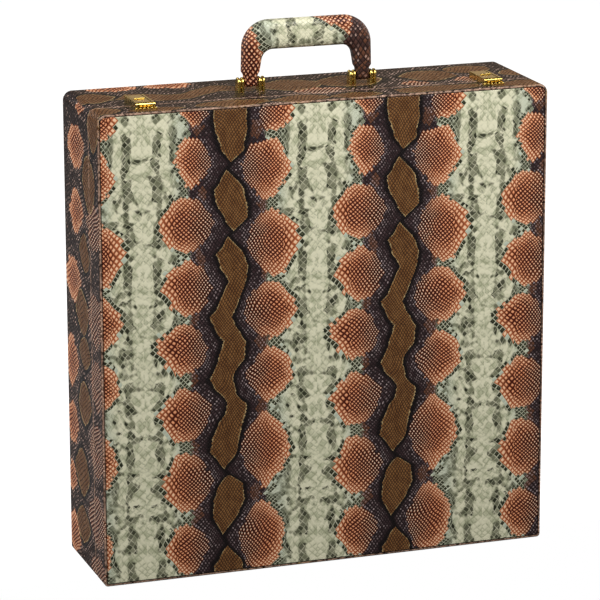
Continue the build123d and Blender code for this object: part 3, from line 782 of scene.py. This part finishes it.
class Scale:
    """The scale that a point lies in, and the colours that it takes in each kind of skin.

    The skin is a lattice of diamonds, a = (U + V) / L and b = (U - V) / L, where U and V are the place
    across and along, stretched as the layout's rows run. rim runs from 0 at the scale's middle to 1 on
    its edge, groove is 1 between scales, and dot is the distance from the scale's painted
    highlight, a bright spot set a little above its middle. chance, second and third are its own random
    numbers of 0 to 1.
    """

    def __init__(self, finish: "Leatherette", bench: Bench) -> None:
        """Find the scale, and sort it into the print's zones.

        Args:
            finish: The leatherette.
            bench: The material's bench.
        """
        self.bench, self.ink = bench, finish.ink
        self.stray_highlights, self.spine_ring_highlights = finish.stray_highlights, finish.spine_ring_highlights
        across, along = finish.layout.lay(bench)
        self.place = bench.vector(across, along)
        self.wander = bench.noise(self.place, 0.03, 2.0)
        drift = bench.noise(bench.vector(along, across, 40.0), 0.028, 1.0)
        self.u = across + (self.wander - 0.5) * finish.warp_across
        self.v = along + (drift - 0.5) * finish.warp_along
        stretched, slope, tall = finish.layout.rows(self.u)
        lifted = self.v * tall
        size = finish.scale_side * math.sqrt(2)
        a, b = (stretched + lifted) / size, (stretched - lifted) / size
        cell_a, cell_b = a.floor(), b.floor()
        in_a, in_b = a - cell_a - 0.5, b - cell_b - 0.5
        self.middle_u = self.u - (in_a + in_b) * (size / 2) / slope
        self.middle_v = self.v - (in_a - in_b) * (size / 2) / tall
        self.chance, self.second, self.third = bench.lot(bench.vector(cell_a, cell_b, 3.0))
        self.rim = abs(in_a).most(abs(in_b)) * 2.0
        self.groove = bench.ease(self.rim, 0.6, 0.95)
        # Painted highlight: each scale's bright spot sits a little above its middle, where light from
        # above would catch it.
        highlight_a, highlight_b = in_a + 0.05, in_b - 0.05
        self.dot = (highlight_a * highlight_a + highlight_b * highlight_b).root() * 2.0
        self.zones = finish.layout.zones(self)

    def pale(self) -> Signal:
        """The pale band: cream scales, with olive blots in pairs about the band's middle.

        Returns:
            The colour.
        """
        bench, ink, apart = self.bench, self.ink, self.zones.pale_across
        tone = bench.noise(bench.vector(apart / 7.0, self.v / 8.0, 9.0), 1.0, 2.0)
        dulled = bench.ease(tone + (self.chance - 0.5) * 0.16, 0.38, 0.74)
        skin = bench.mix(dulled, ink.cream, ink.dull_cream)
        skin = bench.mix(bench.ease(apart, 24.0, 40.0) * 0.7, skin, ink.cool_cream)
        skin = bench.mix(self.groove * bench.ease(tone, 0.35, 0.6) * 0.6, skin, ink.cream_groove)
        patchy = bench.noise(bench.vector(apart / 9.0, self.v / 10.0, 2.0), 1.0, 1.0)
        lane = 1.0 - bench.ease(abs(apart - 14.5), 2.0, 7.0)
        outer = bench.ease(apart, 22.0, 30.0)
        middle = 1.0 - bench.ease(apart, 4.0, 9.0)
        heavy = patchy + lane * 0.21 + outer * 0.12 - middle * 0.07 + (self.chance - 0.5) * 0.05
        heavy = bench.ease(heavy, 0.565, 0.675)
        blot = heavy * (1.0 - bench.ease(self.rim, 0.74, 1.0) * 0.75) * (0.7 + self.second * 0.3)
        dark = bench.mix(heavy * self.second, ink.olive, ink.deep_olive)
        return bench.mix(blot, skin, dark)

    def net(self) -> Signal:
        """The pale band's edge: dark olive scales with dull hearts, in a pale net.

        Returns:
            The colour.
        """
        bench, ink = self.bench, self.ink
        heart = (1.0 - bench.ease(self.dot, 0.1, 0.6)) * self.second * 0.8
        skin = bench.mix(heart, ink.deep_olive, ink.olive)
        skin = bench.mix(self.third > 0.88, skin, ink.cool_cream)
        return bench.mix(bench.ease(self.rim, 0.68, 0.95) * 0.9, skin, ink.net)

    def ground(self) -> Signal:
        """The dark ground: small painted highlight dots that fade away from the patches, and brown
        islands.

        Returns:
            The colour.
        """
        bench, ink, zones = self.bench, self.ink, self.zones
        # Painted highlights: pale dots near the patches, stray dots, and a ring of dots beside the brown
        # line.
        near = 1.0 - bench.ease(zones.patch, 1.0, 1.55)
        lone = bench.ease(self.third, 0.7, 0.95) * self.stray_highlights
        ring = bench.ease(-zones.spine, 3.0, 5.0) * (1.0 - bench.ease(-zones.spine, 7.0, 10.0))
        lone = lone + ring * bench.ease(self.chance, 0.2, 0.8) * self.spine_ring_highlights
        lit = near * bench.ease(self.second, 0.1, 0.9) * 0.75 + lone
        skin = bench.mix(self.chance * 0.5, ink.ground, ink.ground_groove)
        skin = bench.mix((zones.island + (self.chance - 0.5) * 0.3) < 1.0, skin, ink.island)
        skin = bench.mix(lit * (1.0 - bench.ease(self.dot, 0.2, 0.75)), skin, ink.highlight_lilac)
        skin = bench.mix(self.groove * 0.9, skin, ink.ground_groove)
        return bench.mix(bench.ease(-zones.spine, 2.0, 6.0), ink.ground_groove, skin)

    def patch(self) -> Signal:
        """A patch: peach and thin-lined on its pale side, copper within, with a painted highlight dot on
        each scale that is brightest on its dark side.

        Returns:
            The colour.
        """
        bench, ink, zones = self.bench, self.ink, self.zones
        inward = bench.ease(zones.inward + (self.second - 0.5) * 0.16, -0.25, 0.8)
        outer = bench.ease(zones.patch + (self.chance - 0.5) * 0.16, 0.5, 0.92)
        away = bench.ease(zones.patch + (self.third - 0.5) * 0.2, 0.2, 0.8)
        heart = (1.0 - away) * (1.0 - inward * 0.4)
        rim = outer * (1.0 - inward)
        stain = bench.noise(bench.vector(self.u, self.v, 7.0), 0.11, 1.0)
        red = (bench.ease(stain, 0.32, 0.56) * 0.6 + heart * 0.5).least(1.0)
        core = bench.mix(rim, bench.mix(red, ink.copper, ink.red), ink.orange)
        # Painted highlights: a peach to near-white spot on each scale, brightest towards the patch's
        # dark side.
        shine = bench.mix((0.15 + inward * 0.85).most(outer), ink.orange, ink.highlight_peach)
        shine = bench.mix(bench.ease(zones.inward, 0.35, 0.95) * 0.8, shine, ink.highlight_spark)
        dot = 1.0 - bench.ease(self.dot + inward * 0.18, 0.3, 0.88)
        skin = bench.mix(dot * (1.0 + self.second * 0.2 - heart * 0.28), core, shine)
        lines = bench.mix(inward, ink.copper_groove, ink.dark_groove)
        lines = bench.mix(rim * 0.85, lines, ink.rim_groove)
        return bench.mix(bench.ease(self.rim + inward * 0.12, 0.44, 0.82) * 0.97, skin, lines)

    def spine(self, depth: Signal) -> Signal:
        """The brown line, with a fine tan edge and a painted highlight on each scale.

        Args:
            depth: How far inside the line's edge the point is.

        Returns:
            The colour.
        """
        bench, ink = self.bench, self.ink
        tone = bench.noise(bench.vector(self.u * 1.6, self.v, 4.0), 0.09, 2.0)
        tone = bench.ease(tone, 0.35, 0.65)
        # Painted highlight: each brown scale is lighter at its bright spot, mixed with random tone.
        dulled = bench.ease(self.dot, 0.2, 0.8) * 0.4 + self.chance * 0.2 + tone * 0.4
        skin = bench.mix(dulled, ink.brown, ink.deep_brown)
        skin = bench.mix(self.groove * 0.9, skin, ink.brown_groove)
        edge = (1.0 - bench.ease(depth, 0.4, 1.1)) * bench.ease(self.second, 0.1, 0.8)
        return bench.mix(edge * 0.7, skin, ink.tan)


@dataclass(frozen=True)
class Leatherette:
    """Glossy embossed leatherette in python print."""

    name: str
    layout: PaleBands | CaseSides | HandleWrap
    ink: PrintInk = PrintInk()
    scale_side: float = 3.0
    relief_mm: float = 0.26
    gloss: float = 0.28
    stray_highlights: float = 0.28
    spine_ring_highlights: float = 0.0
    warp_across: float = 12.0
    warp_along: float = 14.0

    def material(self) -> bpy.types.Material:
        """Make the material.

        A scale takes its colour from the zone that its middle lies in, so every patch ends along whole
        scales. Only the brown line is cut finer, along its own serrated edge.

        Returns:
            The material.
        """
        bench = Bench(self.name)
        scale = Scale(self, bench)
        zones, chance = scale.zones, scale.chance
        is_pale = zones.pale + (chance - 0.5) * 3.0 > 0.0
        is_patch = zones.patch + (chance - 0.5) * 0.08 < 1.0
        brown_depth = zones.spine - scale.dot * 0.7 + 0.4
        colour = bench.mix(zones.outside, scale.ground(), scale.net())
        colour = bench.mix(is_pale, colour, scale.pale())
        colour = bench.mix(is_patch, colour, scale.patch())
        colour = bench.mix(brown_depth > 0.0, colour, scale.spine(brown_depth))
        # Painted highlight: a pale line along the turned edges, broken up by noise.
        highlight_breakup = bench.noise(bench.vector(scale.u, scale.v, 5.0), 0.22, 2.0)
        edge_highlight = zones.edge_highlight * bench.ease(highlight_breakup, 0.3, 0.62) * 0.7
        colour = bench.mix(edge_highlight, colour, self.ink.edge_highlight)
        dome = 1.0 - scale.rim**3.0
        grain = bench.noise(scale.place, 2.2, 2.0)
        bench.relief(dome * (1.0 - is_pale * 0.5) + grain * 0.1, self.relief_mm * MM)
        bench.set(
            Base_Color=colour,
            Roughness=0.36 + scale.groove * 0.14 + (chance - 0.5) * 0.12,
            IOR=1.45,
            Specular_IOR_Level=self.gloss,
            Coat_Weight=self.gloss * 0.3,
            Coat_Roughness=0.14,
        )
        return bench.material


class Polish(Enum):
    """How bright a metal is."""

    BRIGHT = 0.2
    SATIN = 0.32


@dataclass(frozen=True)
class GoldPlate:
    """Gold-coloured plate on the latches, ears and hinges."""

    name: str
    colour: Colour
    polish: Polish

    def material(self) -> bpy.types.Material:
        """Make the material: polish marks and a faint cloudiness in its roughness.

        Returns:
            The material.
        """
        bench = Bench(self.name)
        x, y, z = bench.place()
        cloud = bench.noise(bench.vector(x, y, z), 0.35, 3.0)
        marks = bench.noise(bench.vector(x * 0.6, y * 3.0, z * 2.0), 1.6, 2.0)
        bench.relief(marks, 0.03 * MM, 0.35)
        dull = tuple(c * 0.72 for c in self.colour[:3]) + (1.0,)
        bench.set(
            Base_Color=bench.mix(bench.ease(cloud, 0.35, 0.75) * 0.5, self.colour, dull),
            Metallic=1.0,
            Roughness=self.polish.value + (cloud - 0.5) * 0.1,
        )
        return bench.material


@dataclass(frozen=True)
class Velour:
    """Soft short pile that lines the case."""

    name: str
    colour: Colour
    pile: Colour

    def material(self) -> bpy.types.Material:
        """Make the material: pile brushed one way and the other, with a fine nap.

        Returns:
            The material.
        """
        bench = Bench(self.name)
        x, y, z = bench.place()
        brushed = bench.noise(bench.vector(x * 0.5, y, z * 0.25), 0.03, 3.0)
        nap = bench.noise(bench.vector(x, y, z), 2.6, 2.0, 0.7)
        bench.relief(nap, 0.35 * MM, 0.6)
        share = bench.ease(brushed * 0.7 + nap * 0.3, 0.3, 0.7)
        bench.set(
            Base_Color=bench.mix(0.2 + share * 0.5, self.colour, self.pile),
            Roughness=0.92,
            Sheen_Weight=0.55,
            Sheen_Roughness=0.45,
            Sheen_Tint=self.pile,
        )
        return bench.material


@dataclass(frozen=True)
class SpringWire:
    """Bright drawn steel wire."""

    name: str

    def material(self) -> bpy.types.Material:
        """Make the material, with faint drawing marks.

        Returns:
            The material.
        """
        bench = Bench(self.name)
        x, y, z = bench.place()
        marks = bench.noise(bench.vector(x, y, z), 3.0, 2.0)
        bench.set(Base_Color=tint(176, 178, 184), Metallic=1.0, Roughness=0.22 + marks * 0.12)
        return bench.material


def new_piece(name: str, points: np.ndarray, faces: list[tuple[int, ...]]) -> bpy.types.Object:
    """Make a mesh object from points and faces.

    Args:
        name: The piece's name.
        points: An array of (x, y, z) rows, in metres.
        faces: The corners of each face.

    Returns:
        The object, linked to the scene.
    """
    mesh = bpy.data.meshes.new(name)
    mesh.from_pydata(points.tolist(), [], faces)
    mesh.update()
    mesh.polygons.foreach_set("use_smooth", np.ones(len(mesh.polygons), dtype=bool))
    piece = bpy.data.objects.new(name, mesh)
    bpy.context.scene.collection.objects.link(piece)
    return piece


def grid_faces(rows: int, columns: int, closed: bool) -> list[tuple[int, ...]]:
    """The quads between the points of a grid.

    Args:
        rows: How many rows of points.
        columns: How many points in each row.
        closed: Whether each row closes on itself.

    Returns:
        The quads, as point numbers.
    """
    spans = columns if closed else columns - 1
    row, column = np.meshgrid(np.arange(rows - 1), np.arange(spans), indexing="ij")
    here, beside = row * columns + column, row * columns + (column + 1) % columns
    quads = np.stack([here, beside, beside + columns, here + columns], axis=-1)
    return [tuple(q) for q in quads.reshape(-1, 4).tolist()]


def recalculate(piece: bpy.types.Object) -> None:
    """Turn a closed mesh's faces outwards.

    Args:
        piece: The piece that has the mesh.
    """
    mesh = bmesh.new()
    mesh.from_mesh(piece.data)
    bmesh.ops.recalc_face_normals(mesh, faces=mesh.faces)
    mesh.to_mesh(piece.data)
    mesh.free()


def new_tube(name: str, rings: np.ndarray) -> bpy.types.Object:
    """Skin a row of rings, and close its first and last ring with a flat face.

    Args:
        name: The piece's name.
        rings: Each ring's points, as (x, y, z) in millimetres.

    Returns:
        The tube.
    """
    rows, columns = rings.shape[:2]
    faces = grid_faces(rows, columns, True)
    faces.append(tuple(range(columns))[::-1])
    faces.append(tuple(range((rows - 1) * columns, rows * columns)))
    piece = new_piece(name, rings.reshape(-1, 3) * MM, faces)
    recalculate(piece)
    return piece


def fit(piece: bpy.types.Object, material: bpy.types.Material, body: str, node: str) -> None:
    """Finish a piece, and set it on a body in place of a solid.

    Args:
        piece: The piece.
        material: Its finish.
        body: The body that carries it.
        node: The CAD node that it replaces.
    """
    piece.data.materials.append(material)
    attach(piece, body)
    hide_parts(node)
    log.info("made %s, which rides on %s", piece.name, body)


@dataclass(frozen=True)
class CarryingHandle:
    """The covered handle: an arch of flattened round section that widens from its feet to its grip."""

    middle_y: float = 0.0
    base_z: float = HEIGHT
    half_neck: float = 65.2
    splay: float = 2.0
    height: float = 67.9
    grip: float = 28.2
    leg: float = 17.6
    foot: float = 13.4
    flare: float = 1.2
    outer_r: float = 27.0
    inner_r: float = 11.0
    axis_rise: float = 9.2
    foot_r: float = 5.0
    straight: float = 15.2
    neck: float = 19.7
    shoulder: float = 45.2
    leg_thickness: float = 13.0
    grip_thickness: float = 18.0
    bow: float = 3.4
    crease: float = 0.018
    seam_width: float = 0.05
    ridge_place: float = 0.62
    ridge_width: float = 0.035
    section_points: int = 72
    foot_points: int = 14
    neck_points: int = 8
    leg_points: int = 10
    corner_points: int = 24
    top_points: int = 16

    def edge(self, foot: float, neck: float, crown: float, top: float, radius: float) -> np.ndarray:
        """One edge of the arch's right half, from its foot to the middle.

        The leg runs up from the foot, bends out to the neck and leans in to the crown. A circle of the
        given radius, tangent to the lean and to the level top, turns the corner. Both edges get the
        same number of points in each stretch.

        Args:
            foot: The edge's distance from the middle at the foot.
            neck: The same at the neck.
            crown: The same where the leaning line meets the top.
            top: The edge's height along the grip.
            radius: The corner's radius.

        Returns:
            Rows of (x, z).
        """
        start = self.axis_rise - self.foot_r
        lean = math.atan2(neck - crown, top - self.neck)
        reach = radius * math.tan((math.pi / 2 - lean) / 2)
        centre = np.array([crown - reach, top - radius])
        swing = np.linspace(0, math.pi / 2, self.foot_points)[:-1]
        low = start + (self.straight - start) * (1 - np.cos(swing))
        foot_part = np.stack([np.full_like(low, foot), low], -1)
        ease = np.linspace(0, 1, self.neck_points)[:-1]
        bend_out = foot + (neck - foot) * (3 * ease**2 - 2 * ease**3)
        neck_part = np.stack([bend_out, self.straight + (self.neck - self.straight) * ease], -1)
        turn = np.linspace(lean, math.pi / 2, self.corner_points)
        bend = centre + radius * np.stack([np.cos(turn), np.sin(turn)], -1)
        share = np.linspace(0, 1, self.leg_points)[:-1, None]
        leg_part = np.array([neck, self.neck]) * (1 - share) + bend[0] * share
        flat = np.linspace(0, 1, self.top_points)[1:, None]
        top_part = bend[-1] * (1 - flat) + np.array([0.0, top]) * flat
        return np.vstack([foot_part, neck_part, leg_part, bend, top_part])

    def thickness(self, height: np.ndarray) -> np.ndarray:
        """Half the handle's thickness: a round foot, then a straight flare to the grip.

        Args:
            height: Heights above the handle's foot line.

        Returns:
            Half the thickness at each height.
        """
        flare = np.interp(
            height,
            [self.axis_rise, self.neck, self.shoulder],
            [self.foot_r, self.leg_thickness / 2, self.grip_thickness / 2],
        )
        drop = np.clip(self.axis_rise - height, 0.0, self.foot_r - 0.15)
        return np.where(height < self.axis_rise, np.sqrt(self.foot_r**2 - drop**2), flare)

    def build(self) -> bpy.types.Object:
        """Loft the section along the arch.

        The section is the superellipse |w|^n + |t|^n = 1 between the outer and the inner edge, with a
        low ridge near the outer edge of each face and a fine seam along the inside.

        Returns:
            The handle.
        """
        inside = self.half_neck - self.leg
        step = (self.leg - self.foot) / 2
        crown, window = self.half_neck - self.splay, inside - self.splay - self.flare
        outer = self.edge(self.half_neck - step, self.half_neck, crown, self.height, self.outer_r)
        inner = self.edge(inside + step, inside, window, self.height - self.grip, self.inner_r)
        outer = np.vstack([outer * [-1, 1], outer[::-1][1:]])
        inner = np.vstack([inner * [-1, 1], inner[::-1][1:]])
        middle, reach = (outer + inner) / 2, (outer - inner) / 2
        phi = np.linspace(0, 2 * math.pi, self.section_points, endpoint=False)
        power = 2 / self.bow
        wide = np.sign(np.cos(phi)) * np.abs(np.cos(phi)) ** power
        thick = np.sign(np.sin(phi)) * np.abs(np.sin(phi)) ** power
        seam = 1 - self.crease * np.exp(-(((phi - math.pi) / self.seam_width) ** 2))
        ridge = self.crease * np.exp(-(((wide - self.ridge_place) / self.ridge_width) ** 2))
        ridge = 1 + ridge * (np.abs(thick) > 0.5)
        wide, thick = wide * seam, thick * ridge / ridge.max()
        flat = middle[:, None, :] + reach[:, None, :] * wide[None, :, None]
        depth = self.thickness(flat[..., 1]) * thick[None, :]
        rings = np.stack([flat[..., 0], self.middle_y + depth, self.base_z + flat[..., 1]], -1)
        piece = new_tube("handle_cover", rings)
        self.chart(piece, middle, reach, flat, depth)
        return piece

    def chart(
        self,
        piece: bpy.types.Object,
        middle: np.ndarray,
        reach: np.ndarray,
        flat: np.ndarray,
        depth: np.ndarray,
    ) -> None:
        """Give the handle a chart in metres, as if its two faces were rolled out flat.

        A point keeps its row of the arch, and its distance from the arch's middle line is the length
        of the section between the face's middle and the point.

        Args:
            piece: The handle.
            middle: The arch's middle line.
            reach: From the middle line to the outer edge, for each row.
            flat: Each point's (x, z).
            depth: Each point's depth from the handle's middle plane.
        """
        across = np.linalg.norm(flat - middle[:, None, :], axis=2)
        side = np.sign(np.sum((flat - middle[:, None, :]) * reach[:, None, :], axis=2))
        face = np.abs(depth).max(axis=1, keepdims=True) - np.abs(depth)
        rolled = side * (across + face * 0.8)
        toward = reach / np.linalg.norm(reach, axis=1, keepdims=True)
        chart = (middle[:, None, :] + toward[:, None, :] * rolled[..., None]).reshape(-1, 2) * MM
        layer = piece.data.uv_layers.new(name="chart")
        corners = np.zeros(len(piece.data.loops), dtype=np.int32)
        piece.data.loops.foreach_get("vertex_index", corners)
        layer.uv.foreach_set("vector", chart[corners].astype(np.float32).ravel())


@dataclass(frozen=True)
class SoftSlab:
    """A slab with one soft face, which fills a solid's box."""

    name: str
    node: str
    toward_back: bool
    rise: float
    fall: float
    sunk: float = 0.4
    steps: int = 190

    def build(self, uprights: list[tuple[float, float, float]], levels: list[float]) -> bpy.types.Object:
        """Make the slab, whose face swells by rise (1 - exp(-d / fall)) at a distance d from its lines.

        Args:
            uprights: Upright lines that hold the face down, as x, lowest z and highest z, in metres.
            levels: Level lines that hold the face down, in metres.

        Returns:
            The slab.
        """
        low, high = (np.array(corner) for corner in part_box(self.node))
        x = np.linspace(low[0], high[0], self.steps)
        z = np.linspace(low[2], high[2], self.steps)
        grid_z, grid_x = np.meshgrid(z, x, indexing="ij")
        away = np.minimum.reduce([grid_x - low[0], high[0] - grid_x, grid_z - low[2], high[2] - grid_z])
        for line in levels:
            away = np.minimum(away, np.abs(grid_z - line))
        for line, start, end in uprights:
            beside = np.hypot(grid_x - line, np.maximum(0, np.maximum(start - grid_z, grid_z - end)))
            away = np.minimum(away, beside)
        swell = self.rise * MM * (1 - np.exp(-away / (self.fall * MM)))
        sign = 1 if self.toward_back else -1
        face, back = (high[1], low[1]) if self.toward_back else (low[1], high[1])
        front = np.stack([grid_x, face + sign * (swell - self.sunk * MM), grid_z], -1)
        numbers = np.arange(self.steps**2).reshape(self.steps, self.steps)
        rim = np.concatenate([numbers[0], numbers[1:, -1], numbers[-1, -2::-1], numbers[-2:0:-1, 0]])
        rear = front.reshape(-1, 3)[rim] * [1, 0, 1] + [0, back, 0]
        faces = grid_faces(self.steps, self.steps, False)
        edge = numbers.size + np.arange(len(rim))
        sides = np.stack([rim, edge, np.roll(edge, -1), np.roll(rim, -1)], -1)
        faces += [tuple(q) for q in sides.tolist()]
        faces.append(tuple(edge[::-1].tolist()))
        piece = new_piece(self.name, np.vstack([front.reshape(-1, 3), rear]), faces)
        recalculate(piece)
        return piece


@dataclass(frozen=True)
class SoftInside:
    """The bed under the chess pieces and the pad in the lid."""

    velour: Velour = Velour("bed_velour", tint(58, 34, 26), tint(104, 66, 50))

    def build(self) -> None:
        """Make both soft pieces and set them on their bodies."""
        material = self.velour.material()
        rows = [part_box(f"row_slat_{k}") for k in (1, 2, 3)]
        levels = [(low[2] + high[2]) / 2 for low, high in rows]
        slats = [f"column_slat_{k}" for k in (2, 4, 6)]
        slats += [f"officer_slat_{end}_{k}" for end in ("top", "bottom") for k in (1, 3, 5, 7)]
        bed = SoftSlab("flocked_bed", "base_bed", False, rise=2.4, fall=9.0)
        pad = SoftSlab("lid_cushion", "lid_pad", True, rise=4.5, fall=16.0)
        bed = bed.build([self.upright(slat) for slat in slats], levels)
        pad = pad.build([], [])
        fit(bed, material, "base", "base_bed")
        fit(pad, material, "lid", "lid_pad")

    def upright(self, node: str) -> tuple[float, float, float]:
        """The x, lowest z and highest z of an upright slat."""
        low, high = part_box(node)
        return (low[0] + high[0]) / 2, low[2], high[2]


@dataclass(frozen=True)
class SlideSpring:
    """The coil spring behind a thumb slide, which shortens as the slide is pushed back."""

    side: str
    wire_r: float = 0.2
    pitch: float = 1.5
    travel: float = 4.0
    turn_points: int = 28
    wire_points: int = 10

    def build(self, material: bpy.types.Material) -> None:
        """Wind a coil along Y in the box of the spring's solid.

        The wire's middle is (R cos t, y0 + p t / 2 pi, R sin t), and the wire is a ring round it in the
        plane of the coil's radius and the coil's axis. The first and last half turns lie level.

        Args:
            material: The wire's finish.
        """
        node = f"slide_spring_{self.side}"
        low, high = (np.array(corner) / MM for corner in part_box(node))
        middle = (low + high) / 2
        radius = (high[0] - low[0]) / 2 - self.wire_r
        start, end = low[1] + self.wire_r, high[1] - self.wire_r
        turns = (end - start) / self.pitch
        t = np.linspace(0, 2 * math.pi * turns, int(turns * self.turn_points))
        share = np.clip((t - math.pi) / (t[-1] - 2 * math.pi), 0.0, 1.0)
        ring = np.linspace(0, 2 * math.pi, self.wire_points, endpoint=False)
        reach = radius + self.wire_r * np.cos(ring)[None, :]
        x = middle[0] + reach * np.cos(t)[:, None]
        y = (start + (end - start) * share)[:, None] + self.wire_r * np.sin(ring)[None, :]
        z = middle[2] + reach * np.sin(t)[:, None]
        piece = new_tube(f"coil_spring_{self.side}", np.stack([x, y, z], -1))
        fit(piece, material, "base", node)
        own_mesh(piece)


@dataclass(frozen=True)
class Covering:
    """The leatherette on the boards, the walls and the handle."""

    def build(self) -> None:
        """Dress the covered nodes and make the handle's cover."""
        # The walls' and the handle's inks set their own colour for the painted highlight dots on the
        # dark ground, and both finishes scatter more of these dots; the walls also ring the brown line
        # with them.
        warm = PrintInk(ground=tint(54, 37, 32), highlight_lilac=tint(240, 202, 184), brown=tint(142, 102, 68))
        plum = PrintInk(ground=tint(92, 62, 54), highlight_lilac=tint(236, 200, 184))
        walls = Leatherette("wall_leatherette", CaseSides(), warm, gloss=0.09, stray_highlights=0.5, spine_ring_highlights=0.85)
        boards = Leatherette("board_leatherette", PaleBands())
        handle = Leatherette("handle_leatherette", HandleWrap(), plum, relief_mm=0.4, stray_highlights=0.6)
        sides = ("top", "bottom", "left", "right")
        paint(walls.material(), *(f"{half}_wall_{side}" for half in ("base", "lid") for side in sides))
        paint(boards.material(), "base_back_board", "lid_front_board")
        fit(CarryingHandle().build(), handle.material(), "handle", "carrying_handle")


def paint(material: bpy.types.Material, *nodes: str) -> None:
    """Put a material in every slot of some CAD nodes."""
    for name in nodes:
        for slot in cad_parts[name].material_slots:
            slot.material = material
        log.info("dressed %s in %s", name, material.name)


@dataclass(frozen=True)
class Fittings:
    """The metalwork, and the nodes of the lining."""

    gold: GoldPlate = GoldPlate("latch_gold_plate", tint(214, 184, 98), Polish.BRIGHT)
    brass: GoldPlate = GoldPlate("hinge_brass_plate", tint(192, 168, 110), Polish.SATIN)
    velour: Velour = Velour("lining_velour", tint(54, 32, 25), tint(96, 60, 46))
    wire: SpringWire = SpringWire("spring_wire")

    def build(self) -> None:
        """Give each metal, lining and divider node its material."""
        finishes = (self.gold, self.brass, self.velour, self.wire)
        made = {finish: finish.material() for finish in finishes}
        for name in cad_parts:
            finish = self.finish_of(name)
            if finish:
                paint(made[finish], name)
        for side in ("left", "right"):
            SlideSpring(side).build(made[self.wire])

    def finish_of(self, node: str) -> GoldPlate | Velour | SpringWire | None:
        """Choose a node's finish by the first of some words that its name holds.

        Args:
            node: The node's name.

        Returns:
            The finish, or None where the covering dresses the node.
        """
        words = {"spring": self.wire, "lining": self.velour, "slat": self.velour, "hinge": self.brass}
        words |= dict.fromkeys(("latch", "hasp", "slide", "ear", "pin"), self.gold)
        return next((finish for word, finish in words.items() if word in node), None)


@dataclass(frozen=True)
class SoftBox:
    """A square area light: where it hangs, what it faces, its side and its power in watts."""

    name: str
    place: tuple[float, float, float]
    aim: tuple[float, float, float]
    side: float
    power: float
    colour: Colour = tint(255, 255, 255)

    def hang(self) -> None:
        """Put the light in the scene, facing its aim."""
        light = bpy.data.lights.new(self.name, "AREA")
        light.size = self.side
        light.energy = self.power
        light.color = self.colour[:3]
        lamp = bpy.data.objects.new(self.name, light)
        lamp.location = self.place
        lamp.rotation_euler = (Vector(self.aim) - Vector(self.place)).to_track_quat("-Z", "Y").to_euler()
        bpy.context.scene.collection.objects.link(lamp)


@dataclass(frozen=True)
class Studio:
    """A pale floor, soft lights and the camera."""

    eye: tuple[float, float, float] = (-1.036, -2.994, 1.099)
    yaw: float = 19.0
    pitch: float = 15.02
    roll: float = 0.10
    lens_mm: float = 202.1
    sensor_mm: float = 36.0
    floor_reach: float = 30.0
    floor_front: float = -0.0295
    floor_glow: float = 0.88
    sky_light: float = 0.12

    LIGHTS = (
        SoftBox("key", (0.3, -0.95, 1.32), (0.0, 0.0, 0.38), 0.7, 16.8),
        SoftBox("fill", (-2.4, -0.5, 0.9), (0.0, 0.0, 0.25), 1.3, 27.0),
        SoftBox("top", (-0.5, -0.3, 2.4), (0.0, 0.0, 0.4), 1.1, 7.0),
        SoftBox("card", (1.05, 2.5, 1.2), (0.0, 0.0, 0.45), 1.5, 2.5, tint(255, 226, 186)),
        SoftBox("back", (-1.5, 2.0, 1.6), (0.0, 0.0, 0.25), 1.2, 20.0),
        SoftBox("right", (2.4, 0.4, 0.9), (0.0, 0.0, 0.25), 1.3, 20.0),
    )

    def build(self) -> None:
        """Set up the floor, the sky, the lights and the camera."""
        self.floor()
        self.sky()
        for light in self.LIGHTS:
            light.hang()
        self.camera()
        view = bpy.context.scene.view_settings
        view.view_transform = "Standard"
        view.look = "None"
        log.info("set up the studio")

    def floor(self) -> None:
        """A wide plain floor, whose front edge lies under the case's seam, so the lid can swing down."""
        reach, edge = self.floor_reach, self.floor_front
        points = np.array([[-reach, edge, 0], [reach, edge, 0], [reach, reach, 0], [-reach, reach, 0]])
        floor = new_piece("floor", points, [(0, 1, 2, 3)])
        bench = Bench("floor_paper")
        seen = bench.out(bench.node("LightPath", {}, {}), "Is Camera Ray")
        glow = bench.mix(seen, tint(0, 0, 0), tint(255, 255, 255))
        bench.set(Base_Color=tint(190, 190, 190), Roughness=0.9)
        bench.set(Emission_Color=glow, Emission_Strength=self.floor_glow)
        floor.data.materials.append(bench.material)

    def sky(self) -> None:
        """An even sky: white where the camera looks, and dimmer in what it lights."""
        world = bpy.data.worlds.new("studio_sky")
        world.use_nodes = True
        bpy.context.scene.world = world
        tree = world.node_tree
        seen, lit = tree.nodes["Background"], tree.nodes.new("ShaderNodeBackground")
        seen.inputs["Color"].default_value = tint(255, 255, 255)
        seen.inputs["Strength"].default_value = 1.0
        lit.inputs["Color"].default_value = tint(255, 255, 255)
        lit.inputs["Strength"].default_value = self.sky_light
        path, mix = tree.nodes.new("ShaderNodeLightPath"), tree.nodes.new("ShaderNodeMixShader")
        tree.links.new(path.outputs["Is Camera Ray"], mix.inputs[0])
        tree.links.new(lit.outputs[0], mix.inputs[1])
        tree.links.new(seen.outputs[0], mix.inputs[2])
        tree.links.new(mix.outputs[0], tree.nodes["World Output"].inputs[0])

    def camera(self) -> None:
        """Place the camera where the photographer stood."""
        lens = bpy.data.cameras.new("camera")
        lens.lens = self.lens_mm
        lens.sensor_width = self.sensor_mm
        lens.clip_end = 100.0
        eye = bpy.data.objects.new("camera", lens)
        eye.location = self.eye
        eye.rotation_mode = "XYZ"
        eye.rotation_euler = [math.radians(turn) for turn in (90.0 - self.pitch, self.roll, -self.yaw)]
        bpy.context.scene.collection.objects.link(eye)
        bpy.context.scene.camera = eye


def main() -> None:
    """Build every part of the case and the studio round it."""
    Studio().build()
    Covering().build()
    Fittings().build()
    SoftInside().build()


if __name__ == "__main__":
    main()
